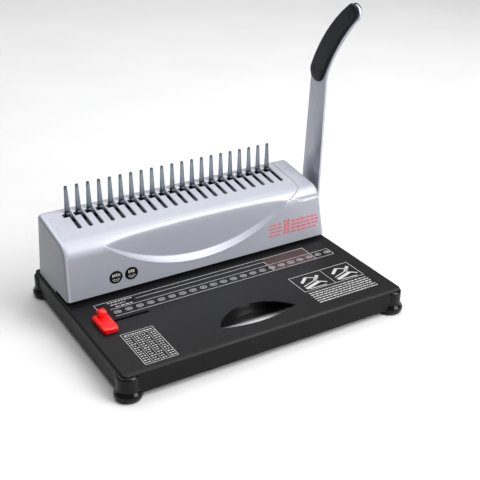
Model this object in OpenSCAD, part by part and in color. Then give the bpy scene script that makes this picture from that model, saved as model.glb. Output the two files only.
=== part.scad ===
// Manual comb binding machine: punches a row of slots in a stack of paper and opens a plastic comb.
// Frame: X along the row of holes, Y towards the back, Z up.
// Origin: centre of the base's footprint, on the table.

/* [Base] */
// Length of the base tray along the row of holes
base_w = 376; // [374:1:380]
// Depth of the base tray from front to back
base_d = 271; // [270:1:275]
// Height of the working surface above the table
base_top = 34; // [34:1:36]
// Height of the open gap under the skirt of the tray
skirt_gap = 7; // [5:1:7]
// Thickness of the tray's sheet steel
sheet_t = 1.5; // [1:0.5:2]

/* [Comb] */
// Number of holes, tines and hooks
hole_count = 21; // [12:1:21]
// Distance from hole to hole
pitch = 14.2875; // [13.5:0.0125:14.2875]
// Middle of the row of holes along the machine
row_x = -7.2; // [-8:0.1:-6]
// Height of a tine above the working surface
tine_rise = 121.2; // [110:0.2:124]
// Width of a tine where it leaves the cover
tine_foot_w = 7; // [6:0.5:8]
// Width of a tine at its rounded tip
tine_tip_w = 4; // [3:0.5:5]

/* [Punch] */
// Height of the throat that takes the paper
throat_h = 5; // [4.5:0.5:5]
// Length of a punched slot
punch_w = 8; // [6:0.5:8]
// Width of a punched slot
punch_t = 3; // [2:0.5:3]
// Travel of the punches for each radian of the lever
punch_ratio = 8; // [7:0.5:8]

/* [Cover] */
// Length of the cover at its foot
cover_w = 369.5; // [366:0.5:370]
// Depth of the cover at its foot
cover_d = 98.6; // [98:0.2:99]
// Radius of the large roll along the cover's upper front edge
roll_r = 18; // [16:1:20]
// Lean of the cover's top and of its back, in degrees
top_slope = 8.5; // [8:0.5:9]
// Wall thickness of the cover
wall = 2.5; // [2:0.5:3]

/* [Lever] */
// Angle through which the lever is pulled, in degrees
lever_swing = 75; // [60:1:75]
// Thickness of the lever's steel strap
strap_t = 3; // [2.5:0.5:3]
// Thickness of one half of the grip
grip_t = 4; // [3:0.5:4]
// Module of the rack and pinion teeth
gear_module = 1.5; // [1.5:0.5:1.5]
// Teeth in a whole turn of the pinion
pinion_teeth = 25; // [25:1:25]

/* [Hidden] */
$fn = 64;
eps = 0.5;
// Radii of a screw and of the hole it passes through
screw_r = 1.95;
clear_r = 2.1;

// Row of holes
row = [for (i = [0 : hole_count - 1]) row_x + (i - (hole_count - 1) / 2) * pitch];
punch_y = 60.5;
tine_y = 98.5;
tine_t = 1.6;
tine_top = base_top + tine_rise;

// Levels of the punch unit
throat_top = base_top + throat_h;
plate_t = 6;
guide_top = throat_top + plate_t;
die_bottom = base_top - plate_t;
bar_bottom = guide_top + 17;
bar_top = bar_bottom + 14;

// Shaft
shaft_y = 65.9;
shaft_r = 5;
cam_rest = 8;
shaft_z = bar_top + cam_rest;
run_gap = 0.05;
cam_gap = 0.05;

// Cover
cover_left = -185;
cover_right = cover_left + cover_w;
cover_front = 25.9;
cover_back = cover_front + cover_d;
cover_foot = throat_top;
cover_low = base_top + 1;
back_r = 6;
roll_y = cover_front + roll_r;
roll_z = cover_foot + 54.8;
// Directions square to the top and to the back
top_n = [-sin(top_slope), cos(top_slope)];
back_n = [cos(top_slope), sin(top_slope)];
back_centre = ([roll_y, roll_z] * top_n + roll_r - back_r) * top_n
    + ([cover_back, cover_low] * back_n - back_r) * back_n;
seam_x = 149.5;
seam_z = 96;
scoop_r = 197;
scoop_low = 52.3;
scoop_depth = 6;
scoop_x = -4;

// Side frames
frame_t = 3;
frame_in_left = -175;
frame_in_right = 160;
frame_top = 104;
flange_w = 15;

// Plates of the punch unit
stack_left = -168;
stack_right = 153;
stack_front = 45.5;
stack_back = 85.5;
stop_front = 64.5;

// Hook slide
pitch_r = gear_module * pinion_teeth / 2;
rack_z = shaft_z + pitch_r;
backlash = 0.2;
hook_plate_z = rack_z + 2.75;
hook_plate_t = 1.5;
hook_front = 74;
hook_back = 96;
hook_offset = 1.1;
hook_w = 2.4;
hook_len = 6;

// Slots in the cover
slot_w = 4.6;
slot_front = 61.1;
slot_back = 97.5;
leg_front = 89;
leg_reach = 8;

// Lever
strap_x = 185.3;
strap_out = strap_x + strap_t;
boss_r = 19.5;

// Chip tray
tray_front = 47.5;
tray_back = 83.5;
chip_low = 9;
chip_top = die_bottom - 2;

// Paper edge guide
guide_x = -172.5;
guide_w = 19;
guide_slot_y = -29.2;
guide_slot_w = 4;
guide_slot_end = -108;

// Colours
charcoal = [0.09, 0.09, 0.1];
gloss_black = [0.03, 0.03, 0.03];
silver = [0.66, 0.66, 0.7];
steel = [0.5, 0.52, 0.56];
dark_steel = [0.3, 0.32, 0.36];
zinc = [0.7, 0.7, 0.68];
guide_red = [0.85, 0.08, 0.07];

// ---------- Helpers ----------

// Box from its lowest corner to its highest corner
module block(low, high) {
    translate(low) cube(high - low);
}

// Outline in Y and Z, extruded along X
module along_x(x0, x1) {
    translate([x0, 0, 0]) rotate([90, 0, 90]) linear_extrude(x1 - x0) children();
}

// Outline in X and Z, extruded along Y
module along_y(y0, y1) {
    translate([0, y1, 0]) rotate([90, 0, 0]) linear_extrude(y1 - y0) children();
}

// Outline in X and Y, extruded along Z
module along_z(z0, z1) {
    translate([0, 0, z0]) linear_extrude(z1 - z0) children();
}

// Round bar along X
module rod_x(r, x0, x1, y, z) {
    translate([x0, y, z]) rotate([0, 90, 0]) cylinder(r = r, h = x1 - x0);
}

// Round bar along Y
module rod_y(r, x, y0, y1, z) {
    translate([x, y1, z]) rotate([90, 0, 0]) cylinder(r = r, h = y1 - y0);
}

// Round bar along Z
module rod_z(r, x, y, z0, z1) {
    translate([x, y, z0]) cylinder(r = r, h = z1 - z0);
}

// Rectangle with round corners, centred
module round_rect(w, d, r) {
    square([w - 2 * r, d], center = true);
    square([w, d - 2 * r], center = true);
    for (sx = [-1, 1], sy = [-1, 1]) translate([sx * (w / 2 - r), sy * (d / 2 - r)]) circle(r);
}

// Pan-head screw: head above the origin, shank hanging down from it
module pan_screw(r, length) {
    head_r = 1.9 * r;
    head_h = 1.2 * r;
    slot = 0.45 * r;
    difference() {
        union() {
            translate([0, 0, -length]) cylinder(r = r, h = length + eps);
            cylinder(r = head_r, h = head_h);
        }
        for (a = [0, 90]) rotate(a) translate([-head_r * 0.6, -slot / 2, head_h * 0.45])
            cube([head_r * 1.2, slot, head_h]);
    }
}

// ---------- Base ----------

corner_r = 9;

// Body of the tray with rounded upper edges, shrunk by inset
module tray_body(inset, z0, edge_r) {
    w = base_w - 2 * inset;
    d = base_d - 2 * inset;
    top = base_top - inset;
    deep = 2 * top;
    intersection() {
        along_z(z0, top) round_rect(w, d, corner_r);
        along_y(-d, d) round_rect(w, deep, edge_r);
        along_x(-w, w) round_rect(d, deep, edge_r);
    }
}

post_r = 13;
post_inset = 10;
post_top = base_top - 4;
post_x = base_w / 2 - post_inset;
post_y = base_d / 2 - post_inset;
post_fit = 0.1;
flare_r = 16.5;
flare_low = 3;
flare_mid = 7;
flare_top = 13;
// Steel tab across each inside corner, measured from the centre of the post, and the post's seat for it
tab_in = 15;
tab_out = 9;
tab_z = 15;
tab_t = 2;
seat_w = 48;
seat_out = post_inset + 0.3;

// Half outline of a post's flared foot, grown by fit
module flare_outline(fit) {
    polygon([
        [0, flare_low],
        [flare_r + fit, flare_low],
        [flare_r + fit, flare_mid],
        [post_r + fit, flare_top],
        [0, flare_top]
    ]);
}

// Outline of the finger recess: a lens between a tight back arc and a shallow front arc
recess_x = -1;
recess_back = -73.5;
recess_front = -112.5;
recess_back_r = 58.4;
recess_front_r = 149;
module recess_outline(inset) {
    intersection() {
        translate([recess_x, recess_back - recess_back_r]) circle(recess_back_r - inset, $fn = 128);
        translate([recess_x, recess_front + recess_front_r]) circle(recess_front_r - inset, $fn = 256);
    }
}

frame_screw_y = [92.5, 101.5];
frame_screw_x = [frame_in_left + 8, frame_in_right - 8];

module base_tray() {
    tab_w = tab_in + tab_out;
    tab_shift = (tab_in - tab_out) / 2;
    color(charcoal) difference() {
        union() {
            difference() {
                tray_body(0, skirt_gap, 4);
                tray_body(sheet_t, skirt_gap - eps, 2.5);
            }
            for (sx = [-1, 1], sy = [-1, 1])
                translate([sx * (post_x - tab_shift), sy * (post_y - tab_shift), tab_z + tab_t / 2])
                    cube([tab_w, tab_w, tab_t], center = true);
        }
        // Corners cut away for the posts
        for (sx = [-1, 1], sy = [-1, 1]) {
            rod_z(post_r + post_fit, sx * post_x, sy * post_y, tab_z + tab_t, post_top + post_fit);
            rod_z(post_r + post_fit, sx * post_x, sy * post_y, flare_top - eps, tab_z);
            translate([sx * post_x, sy * post_y, 0]) rotate_extrude() flare_outline(post_fit);
            rod_z(clear_r, sx * post_x, sy * post_y, 0, tab_z + tab_t + eps);
        }
        // Window for the die plate
        block([stack_left - 0.2, stack_front - 0.2, base_top - 4],
            [stack_right + 0.2, stack_back + 0.2, base_top + eps]);
        // Slot for the paper edge guide
        block([guide_x + 2, guide_slot_y - guide_slot_w / 2, base_top - 4],
            [guide_slot_end, guide_slot_y + guide_slot_w / 2, base_top + eps]);
        rod_z(guide_slot_w / 2, guide_slot_end, guide_slot_y, base_top - 4, base_top + eps);
        // Finger recess
        along_z(base_top - 4, base_top + eps) recess_outline(0);
        // Opening for the chip tray in the right-hand skirt
        block([base_w / 2 - 4, tray_front - 2.4, chip_low - 0.6],
            [base_w / 2 + 1, tray_back + 2.4, chip_top + 0.6]);
        // Holes for the frame screws
        for (x = frame_screw_x, y = frame_screw_y) rod_z(clear_r, x, y, base_top - 4, base_top + eps);
    }
}

// Moulded corner post with a flared foot
module corner_post(sx, sy) {
    color(gloss_black) translate([sx * post_x, sy * post_y, 0]) difference() {
        rotate_extrude() union() {
            square([post_r - 2, post_top]);
            translate([0, flare_top]) square([post_r, post_top - flare_top - 2]);
            translate([post_r - 2, post_top - 2]) circle(2);
            flare_outline(0);
        }
        translate([0, 0, -eps]) cylinder(r = flare_r - 1.7, h = flare_low + eps);
        translate([sx * (seat_out - seat_w / 2), sy * (seat_out - seat_w / 2), tab_z + tab_t / 2])
            cube([seat_w, seat_w, tab_t + 0.1], center = true);
        translate([0, 0, -eps]) cylinder(r = clear_r, h = 26);
        translate([0, 0, -eps]) cylinder(r = 4.6, h = 8 + eps);
    }
}
module corner_post_front_left() {
    corner_post(-1, -1);
}
module corner_post_front_right() {
    corner_post(1, -1);
}
module corner_post_back_left() {
    corner_post(-1, 1);
}
module corner_post_back_right() {
    corner_post(1, 1);
}

module rubber_feet() {
    color(gloss_black) for (sx = [-1, 1], sy = [-1, 1]) translate([sx * post_x, sy * post_y, 0])
        difference() {
            union() {
                cylinder(r = flare_r - 2, h = flare_low - 0.1);
                translate([0, 0, 1]) cylinder(r = flare_r - 1.8, h = 1);
            }
            translate([0, 0, -eps]) cylinder(r = 4.6, h = 4);
        }
}

module foot_screws() {
    color(zinc) for (sx = [-1, 1], sy = [-1, 1]) translate([sx * post_x, sy * post_y, 7.9])
        rotate([180, 0, 0]) pan_screw(screw_r, 17);
}

// Glossy plastic dish for the fingers, deeper towards the back
module finger_recess() {
    rim = 1;
    dish_wall = 1.4;
    dish_low = base_top - 12;
    slope = 13;
    color(gloss_black) difference() {
        union() {
            along_z(base_top, base_top + 0.5) recess_outline(-rim);
            along_z(dish_low, base_top + 0.2) recess_outline(0.1);
        }
        difference() {
            along_z(dish_low, base_top + 2) recess_outline(dish_wall);
            translate([0, recess_back, dish_low + dish_wall]) rotate([-slope, 0, 0])
                translate([-80, -80, -60]) cube([160, 100, 60]);
        }
    }
}

// Angle strips that carry the chip tray under the working surface
module chip_tray_rails() {
    rail_t = 1.5;
    lip = 4;
    low = chip_low - 0.3 - rail_t;
    high = base_top - sheet_t;
    front = stack_front - 0.5;
    back = stack_back + 0.5;
    color(charcoal) along_x(-172, base_w / 2 - 6) {
        translate([front - rail_t, low]) square([rail_t, high - low]);
        translate([front - rail_t, low]) square([rail_t + lip, rail_t]);
        translate([back, low]) square([rail_t, high - low]);
        translate([back - lip, low]) square([rail_t + lip, rail_t]);
    }
}

// ---------- Frame of the punch unit ----------

// Depth of the cover's leaning back at a height, and of the frame parts that touch it from inside
function back_edge(z) = cover_back - (z - cover_low) * tan(top_slope);
function back_inside(z) = back_edge(z) - (wall + 0.02) / cos(top_slope);

// Hole square to the cover's back
module back_hole(x, z) {
    translate([x, back_edge(z), z]) rotate([top_slope - 90, 0, 0])
        translate([0, 0, -8]) cylinder(r = clear_r, h = 10);
}

// Raised steel frame under the edge of the covers
module sub_frame() {
    rim_t = 2;
    left = cover_left + wall + 0.3;
    right = cover_right - wall - 0.3;
    back = back_inside(throat_top) - 0.3;
    color(charcoal) difference() {
        block([left, stop_front, base_top], [right, back, throat_top]);
        // Hollow under the sheet
        block([left + rim_t, stop_front + rim_t, base_top - eps],
            [right - rim_t, back - rim_t, throat_top - rim_t]);
        // Room for the plates of the punch unit
        block([stack_left - 1, stop_front - eps, base_top - eps],
            [stack_right + 1, stack_back + 1, throat_top + eps]);
        for (x = frame_screw_x, y = frame_screw_y) rod_z(clear_r, x, y, base_top - eps, throat_top + eps);
    }
}

cover_screw_z = [50, 90];
plate_screw_y = [53.5, 77.5];
plate_screw_r = 1.5;
plate_mid = throat_top + plate_t / 2;

// Bent steel side frame; side is -1 for left and 1 for right
module side_frame(side) {
    inner = side < 0 ? frame_in_left : frame_in_right;
    x0 = side < 0 ? inner - frame_t : inner;
    flange_x0 = side < 0 ? inner - eps : inner - flange_w;
    flange_x1 = side < 0 ? inner + flange_w : inner + eps;
    screw_x = side < 0 ? inner + 8 : inner - 8;
    color(dark_steel) difference() {
        union() {
            along_x(x0, x0 + frame_t)
                polygon([
                    [stack_front + 2, throat_top],
                    [back_inside(throat_top), throat_top],
                    [back_inside(frame_top), frame_top],
                    [stack_front + 8, frame_top],
                    [stack_front - 2, 80]
                ]);
            block([flange_x0, 87.5, throat_top], [flange_x1, back_inside(throat_top + 2), throat_top + 2]);
            along_x(flange_x0, flange_x1)
                polygon([
                    [back_inside(throat_top) - 2, throat_top],
                    [back_inside(throat_top), throat_top],
                    [back_inside(frame_top), frame_top],
                    [back_inside(frame_top) - 2, frame_top]
                ]);
        }
        rod_x(8.02, x0 - eps, x0 + frame_t + eps, shaft_y, shaft_z);
        for (y = frame_screw_y) rod_z(clear_r, screw_x, y, throat_top - eps, throat_top + 3);
        for (z = cover_screw_z) back_hole(screw_x, z);
        for (y = plate_screw_y) rod_x(plate_screw_r + 0.15, x0 - eps, x0 + frame_t + eps, y, plate_mid);
    }
}
module side_frame_left() {
    side_frame(-1);
}
module side_frame_right() {
    side_frame(1);
}

// Flanged bearing bush pressed into a side frame
module shaft_bush(side) {
    inner = side < 0 ? frame_in_left : frame_in_right;
    x0 = side < 0 ? inner - frame_t : inner;
    flange = side < 0 ? inner : inner - 1.5;
    color([0.75, 0.6, 0.3]) difference() {
        union() {
            rod_x(8, x0, x0 + frame_t, shaft_y, shaft_z);
            rod_x(7.9, min(x0, flange), max(x0 + frame_t, flange + 1.5), shaft_y, shaft_z);
            rod_x(7.95 + 1.6, flange, flange + 1.5, shaft_y, shaft_z);
        }
        rod_x(shaft_r + run_gap, x0 - 5, x0 + frame_t + 5, shaft_y, shaft_z);
    }
}
module shaft_bush_left() {
    shaft_bush(-1);
}
module shaft_bush_right() {
    shaft_bush(1);
}

stack_screw_x = [-160, 145];
stack_screw_y = 77.5;
rod_xs = [-161.5, 146.5];
guide_rod_r = 4;

// Lower plate with the row of cutting holes
module die_plate() {
    color(steel) difference() {
        block([stack_left, stack_front, die_bottom], [stack_right, stack_back, base_top]);
        for (x = row) {
            block([x - punch_w / 2 - run_gap, punch_y - punch_t / 2 - run_gap, die_bottom - eps],
                [x + punch_w / 2 + run_gap, punch_y + punch_t / 2 + run_gap, base_top + eps]);
            block([x - punch_w / 2 - 0.6, punch_y - punch_t / 2 - 0.6, die_bottom - eps],
                [x + punch_w / 2 + 0.6, punch_y + punch_t / 2 + 0.6, die_bottom + 1.4]);
        }
        for (x = stack_screw_x) rod_z(2, x, stack_screw_y, die_bottom - eps, base_top + eps);
    }
}

// Bar between the plates that the edges of the paper rest against
module paper_stop_bar() {
    color(dark_steel) difference() {
        block([stack_left, stop_front, base_top], [stack_right, stack_back, throat_top]);
        for (x = stack_screw_x) rod_z(clear_r, x, stack_screw_y, base_top - eps, throat_top + eps);
    }
}

// Upper plate that guides the punches
module punch_guide_plate() {
    color(steel) difference() {
        block([frame_in_left, stack_front, throat_top], [frame_in_right, stack_back, guide_top]);
        for (x = row) block([x - punch_w / 2 - run_gap, punch_y - punch_t / 2 - run_gap, throat_top - eps],
            [x + punch_w / 2 + run_gap, punch_y + punch_t / 2 + run_gap, guide_top + eps]);
        for (x = stack_screw_x) rod_z(clear_r, x, stack_screw_y, throat_top - eps, guide_top + eps);
        for (x = rod_xs) rod_z(guide_rod_r - 1, x, punch_y, throat_top - eps, guide_top + eps);
        for (y = plate_screw_y) {
            rod_x(plate_screw_r + 0.05, frame_in_left - eps, frame_in_left + 10, y, plate_mid);
            rod_x(plate_screw_r + 0.05, frame_in_right - 10, frame_in_right + eps, y, plate_mid);
        }
    }
}

module stack_screws() {
    color(zinc) for (x = stack_screw_x) translate([x, stack_screw_y, guide_top]) pan_screw(screw_r, 16);
}

module plate_screws() {
    length = 11;
    color(zinc) for (y = plate_screw_y) {
        translate([frame_in_left - frame_t, y, plate_mid])
            rotate([0, -90, 0]) pan_screw(plate_screw_r, length);
        translate([frame_in_right + frame_t, y, plate_mid])
            rotate([0, 90, 0]) pan_screw(plate_screw_r, length);
    }
}

module frame_screws() {
    color(zinc) for (x = frame_screw_x, y = frame_screw_y)
        translate([x, y, throat_top + 2]) pan_screw(screw_r, 12);
}

// Rods that keep the punch bar level
module guide_rods() {
    color(zinc) for (x = rod_xs) {
        rod_z(guide_rod_r - 1.02, x, punch_y, throat_top + 1, guide_top);
        rod_z(guide_rod_r, x, punch_y, guide_top, bar_top + 1.5);
    }
}

// Point at height fraction t along a coil
function coil_point(r, turns, low, rise, t) =
    [r * cos(360 * turns * t), r * sin(360 * turns * t), low + rise * t];

// Compression spring standing on the guide plate, around a rod
module return_spring(x) {
    coil_r = 5.6;
    wire_r = 0.6;
    turns = 4;
    per_turn = 14;
    sides = 6;
    steps = turns * per_turn;
    low = guide_top + wire_r + 0.1;
    rise = bar_bottom - guide_top - 2 * wire_r - 0.2;
    rings = [
        for (i = [0 : steps])
            let (p = coil_point(coil_r, turns, low, rise, i / steps), a = 360 * turns * i / steps)
            for (k = [0 : sides - 1])
                let (b = 360 * k / sides)
                p + wire_r * [cos(b) * cos(a), cos(b) * sin(a), sin(b)]
    ];
    skin = [
        for (i = [0 : steps - 1], k = [0 : sides - 1])
            let (n = (k + 1) % sides)
            [i * sides + k, (i + 1) * sides + k, (i + 1) * sides + n, i * sides + n]
    ];
    first = [for (k = [0 : sides - 1]) k];
    last = [for (k = [sides - 1 : -1 : 0]) steps * sides + k];
    color(zinc) translate([x, punch_y, 0]) polyhedron(rings, concat([first, last], skin));
}
module return_spring_left() {
    return_spring(rod_xs[0]);
}
module return_spring_right() {
    return_spring(rod_xs[1]);
}

// Fixed steel comb that holds the spine of the binding
module tine_plate() {
    root_z = 114;
    tip_r = tine_tip_w / 2;
    color(dark_steel) along_y(tine_y - tine_t / 2, tine_y + tine_t / 2) {
        translate([frame_in_left, root_z - 24]) square([frame_in_right - frame_in_left, 24]);
        for (x = row) {
            polygon([[x - tine_foot_w / 2, root_z - 1], [x + tine_foot_w / 2, root_z - 1],
                [x + tine_foot_w / 2, root_z + 8], [x + tip_r, tine_top - tip_r],
                [x - tip_r, tine_top - tip_r], [x - tine_foot_w / 2, root_z + 8]]);
            translate([x, tine_top - tip_r]) circle(tip_r, $fn = 32);
        }
    }
}

// Moulded channel that guides one end of the hook plate; side is -1 for left and 1 for right
module slide_rail(side) {
    x0 = side < 0 ? frame_in_left : stack_right;
    x1 = side < 0 ? stack_left : frame_in_right;
    rail_front = 48.5;
    rail_back = 96.5;
    slot_x0 = side < 0 ? frame_in_left + 2.5 : stack_right - eps;
    slot_x1 = side < 0 ? stack_left + eps : frame_in_right - 2.5;
    color([0.85, 0.85, 0.82]) difference() {
        block([x0, rail_front, hook_plate_z - 2.2], [x1, rail_back, hook_plate_z + hook_plate_t + 1.8]);
        block([slot_x0, rail_front - 1, hook_plate_z - 0.15],
            [slot_x1, rail_back + 1, hook_plate_z + hook_plate_t + 0.15]);
    }
}
module slide_rail_left() {
    slide_rail(-1);
}
module slide_rail_right() {
    slide_rail(1);
}

// ---------- Covers ----------

// Cross-section of the cover, shrunk by inset
module cover_outline(inset, foot) {
    translate([roll_y, roll_z]) circle(roll_r - inset, $fn = 96);
    translate(back_centre) circle(back_r - inset, $fn = 48);
    polygon([
        [cover_front + inset, foot],
        [back_edge(foot) - inset / cos(top_slope), foot],
        back_centre + (back_r - inset) * back_n,
        back_centre + (back_r - inset) * top_n,
        [roll_y, roll_z] + (roll_r - inset) * top_n,
        [roll_y, roll_z],
        [cover_front + inset, roll_z]
    ]);
}

// Front view of the cover: upright left end, right end drawn in towards the top
module cover_face(inset, foot) {
    polygon([
        [cover_left + inset, foot],
        [cover_right - inset, foot],
        [cover_right - inset, cover_foot],
        [cover_right - 10 - inset, 98],
        [cover_right - 12 - inset, 130],
        [cover_left + 1 + inset, 130]
    ]);
}

// Outer form of both covers together
module cover_form() {
    mid_x = (cover_left + cover_right) / 2;
    mid_y = (cover_front + cover_back) / 2;
    intersection() {
        along_x(cover_left - 1, cover_right + 1) cover_outline(0, cover_low);
        along_y(cover_front - 1, cover_back + 1) cover_face(0, cover_low);
        along_z(cover_low, 140) translate([mid_x, mid_y]) round_rect(cover_w, cover_d, 5);
    }
}

// Curved recess across the front
module scoop(grow) {
    depth = scoop_depth + grow;
    lift = 11.4;
    outer_r = scoop_r + grow;
    translate([scoop_x, cover_front - 1, scoop_low + scoop_r]) rotate([-90, 0, 0])
        cylinder(r1 = outer_r + lift / scoop_depth, r2 = outer_r - lift, h = depth + 1, $fn = 256);
}

module cover_shell() {
    difference() {
        cover_form();
        scoop(0);
        difference() {
            intersection() {
                along_x(cover_left, cover_right) cover_outline(wall, cover_low - 1);
                along_y(cover_front, cover_back) cover_face(wall, cover_low - 1);
            }
            scoop(wall);
        }
        // The throat for the paper, open at both ends as far back as the stop bar
        block([cover_left - 1, cover_front - 1, cover_low - 1],
            [cover_right + 1, stop_front + 0.5, cover_foot]);
    }
}

// Region of the separate cap at the right-hand end, with a tongue that meets the end of the curved recess
module cap_region(gap) {
    tongue_back = 49.5;
    block([seam_x + gap, cover_front - 2, seam_z + gap], [cover_right + 2, cover_back + 2, 140]);
    along_y(cover_front - 2, tongue_back - gap) polygon([
        [129 + gap, 102 - gap], [141 + gap, 107.5 - gap], [seam_x + 1, 114 - gap],
        [seam_x + 1, seam_z + gap], [141 + gap, seam_z + 1 + gap]
    ]);
}

// L-shaped slot for one hook, with the hole for the tine behind it
module hook_slot(x) {
    leg_x = x + hook_offset;
    z0 = 108;
    z1 = 130;
    block([leg_x - slot_w / 2, slot_front + slot_w / 2, z0], [leg_x + slot_w / 2, slot_back, z1]);
    rod_z(slot_w / 2, leg_x, slot_front + slot_w / 2, z0, z1);
    block([x - leg_reach, leg_front, z0], [leg_x + slot_w / 2, slot_back, z1]);
    block([x - tine_foot_w / 2 - 0.4, slot_back - eps, z0], [x + tine_foot_w / 2 + 0.4, tine_y + 1.2, z1]);
}

cover_screw_x = frame_screw_x;

module top_cover() {
    color(silver) difference() {
        cover_shell();
        cap_region(0);
        for (x = row) hook_slot(x);
        rod_x(9.5, 150, cover_right + 2, shaft_y, shaft_z);
        for (x = cover_screw_x, z = cover_screw_z) back_hole(x, z);
    }
}

module end_cap_right() {
    color(silver) difference() {
        intersection() {
            cover_form();
            cap_region(0.3);
        }
        intersection() {
            along_x(seam_x - 1, cover_right) cover_outline(wall, cover_foot - 1);
            along_y(cover_front, cover_back) cover_face(wall, cover_foot - 1);
        }
    }
}

module cover_screws() {
    color(zinc) for (x = cover_screw_x, z = cover_screw_z) translate([x, back_edge(z), z])
        rotate([top_slope - 90, 0, 0]) pan_screw(screw_r, 8);
}

// Round self-adhesive badge on the front of the cover
module badge(x) {
    color(gloss_black) rod_y(8.5, x, cover_front - 0.6, cover_front, 57.2);
}
module badge_left() {
    badge(-122);
}
module badge_right() {
    badge(-101.6);
}

// ---------- Lever and shaft ----------

shaft_left = frame_in_left - frame_t - 3;
spigot_r = 4;
pin_r = 1.5;
cam_xs = [-112, 97];
pinion_xs = [-140, 125];
wheel_t = 8;
hub_r = 7.5;
hub_len = 7;
hub_pin_x = wheel_t / 2 + hub_len / 2;

module main_shaft() {
    pins = [for (x = concat(cam_xs, pinion_xs)) x + hub_pin_x];
    color(zinc) difference() {
        union() {
            rod_x(shaft_r, shaft_left, strap_x - 0.4, shaft_y, shaft_z);
            rod_x(spigot_r, strap_x - 1, strap_out - 0.2, shaft_y, shaft_z);
        }
        rod_x(2.55, strap_x - 12, strap_out + 1, shaft_y, shaft_z);
        for (x = pins) rod_z(pin_r, x, shaft_y, shaft_z - 20, shaft_z + 20);
    }
}

module retaining_ring() {
    color(zinc) difference() {
        rod_x(7.5, shaft_left + 0.8, shaft_left + 1.8, shaft_y, shaft_z);
        rod_x(shaft_r + 0.02, shaft_left, shaft_left + 3, shaft_y, shaft_z);
    }
}

// Point of the cam where its support height is cam_rest + punch_ratio * angle
function cam_point(a) =
    let (h = cam_rest - cam_gap + punch_ratio * a * PI / 180)
    [-h * sin(a) - punch_ratio * cos(a), -h * cos(a) + punch_ratio * sin(a)];

// Cam with a steady rise against a flat follower
module cam(x) {
    steps = 26;
    last_a = lever_swing + 3;
    flank = [for (i = [0 : steps]) cam_point(last_a * i / steps)];
    color(dark_steel) difference() {
        translate([0, shaft_y, shaft_z]) union() {
            along_x(x - wheel_t / 2, x + wheel_t / 2) {
                circle(hub_r);
                polygon(concat(flank, [[-6, 9], [0, hub_r], [hub_r * 0.7, 0], [0, -cam_rest + cam_gap]]));
            }
            along_x(x + wheel_t / 2 - 0.1, x + wheel_t / 2 + hub_len) circle(hub_r);
        }
        rod_x(shaft_r + 0.02, x - 20, x + 20, shaft_y, shaft_z);
        rod_z(pin_r + 0.02, x + hub_pin_x, shaft_y, shaft_z - 20, shaft_z + 20);
    }
}
module cam_left() {
    cam(cam_xs[0]);
}
module cam_right() {
    cam(cam_xs[1]);
}

// Involute tooth flanks
press_a = 20;
base_r = pitch_r * cos(press_a);
tip_r = pitch_r + gear_module;
root_r = pitch_r - 1.25 * gear_module;
function inv_deg(a) = tan(a) * 180 / PI - a;
half_tooth = 90 / pinion_teeth - backlash / 4 / pitch_r * 180 / PI;
function flank_a(r) = half_tooth + inv_deg(press_a) - inv_deg(acos(base_r / r));
flank_low = max(base_r, root_r + 0.01);
function flank_pts(side, turn) = [
    for (i = [0 : 5])
        let (r = flank_low + (tip_r - flank_low) * i / 5, a = turn + side * flank_a(r))
        r * [sin(a), cos(a)]
];
function reversed(v) = [for (i = [len(v) - 1 : -1 : 0]) v[i]];

// Toothed sector that drives a rack; teeth are counted from the top towards the back
module pinion(x) {
    first_tooth = -1;
    last_tooth = 6;
    tooth_a = 360 / pinion_teeth;
    span = [for (k = [first_tooth : last_tooth]) (k + 0.5) * tooth_a];
    edge_a0 = span[0] - tooth_a / 2;
    edge_a1 = span[len(span) - 1] + tooth_a / 2;
    rim = [
        for (i = [0 : 24])
            let (a = edge_a0 + (edge_a1 - edge_a0) * i / 24)
            root_r * [sin(a), cos(a)]
    ];
    color(dark_steel) difference() {
        translate([0, shaft_y, shaft_z]) union() {
            along_x(x - wheel_t / 2, x + wheel_t / 2) {
                circle(hub_r);
                polygon(concat([hub_r * 0.6 * [sin(edge_a0 - 25), cos(edge_a0 - 25)]], rim,
                    [hub_r * 0.6 * [sin(edge_a1 + 25), cos(edge_a1 + 25)]]));
                for (a = span) polygon(concat(flank_pts(-1, a), reversed(flank_pts(1, a)),
                    [(root_r - 1) * [sin(a + 4), cos(a + 4)], (root_r - 1) * [sin(a - 4), cos(a - 4)]]));
            }
            along_x(x + wheel_t / 2 - 0.1, x + wheel_t / 2 + hub_len) circle(hub_r);
        }
        rod_x(shaft_r + 0.02, x - 20, x + 20, shaft_y, shaft_z);
        rod_z(pin_r + 0.02, x + hub_pin_x, shaft_y, shaft_z - 20, shaft_z + 20);
    }
}
module pinion_left() {
    pinion(pinion_xs[0]);
}
module pinion_right() {
    pinion(pinion_xs[1]);
}

module cross_pins() {
    color(zinc) for (x = concat(cam_xs, pinion_xs))
        rod_z(pin_r - 0.02, x + hub_pin_x, shaft_y, shaft_z - hub_r + 0.4, shaft_z + hub_r - 0.4);
}

module lever_hub() {
    color(zinc) difference() {
        rod_x(8.8, strap_x - 6, strap_x, shaft_y, shaft_z);
        rod_x(shaft_r + 0.02, strap_x - 10, strap_x + 1, shaft_y, shaft_z);
    }
}

// Circles that bound the curved upper part of the lever
arch_back = [-133.7, 173.4];
arch_back_r = 224.8;
strap_front = [-163.5, 177.2];
strap_front_r = 218.3;
grip_front = [-215, 135];
grip_front_r = 285.3;

// Crescent between the back circle, drawn in by an inset, and a front circle
module crescent(inset, front, front_r) {
    difference() {
        translate(arch_back) circle(arch_back_r - inset, $fn = 360);
        translate(front) circle(front_r, $fn = 360);
    }
}

strap_tip = [-9.6, 344.9];
strap_tip_r = 10.2;
grip_tip = [-6.7, 345.5];
grip_tip_r = 10.9;
tip_across = 30 * [0.594, 0.805];
grip_foot = [58.4, 258.5];
grip_foot_r = 14.7;
foot_across = 30 * [0.914, 0.405];
screw_spots = [[58.5, 262], [-6.5, 342]];

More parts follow.
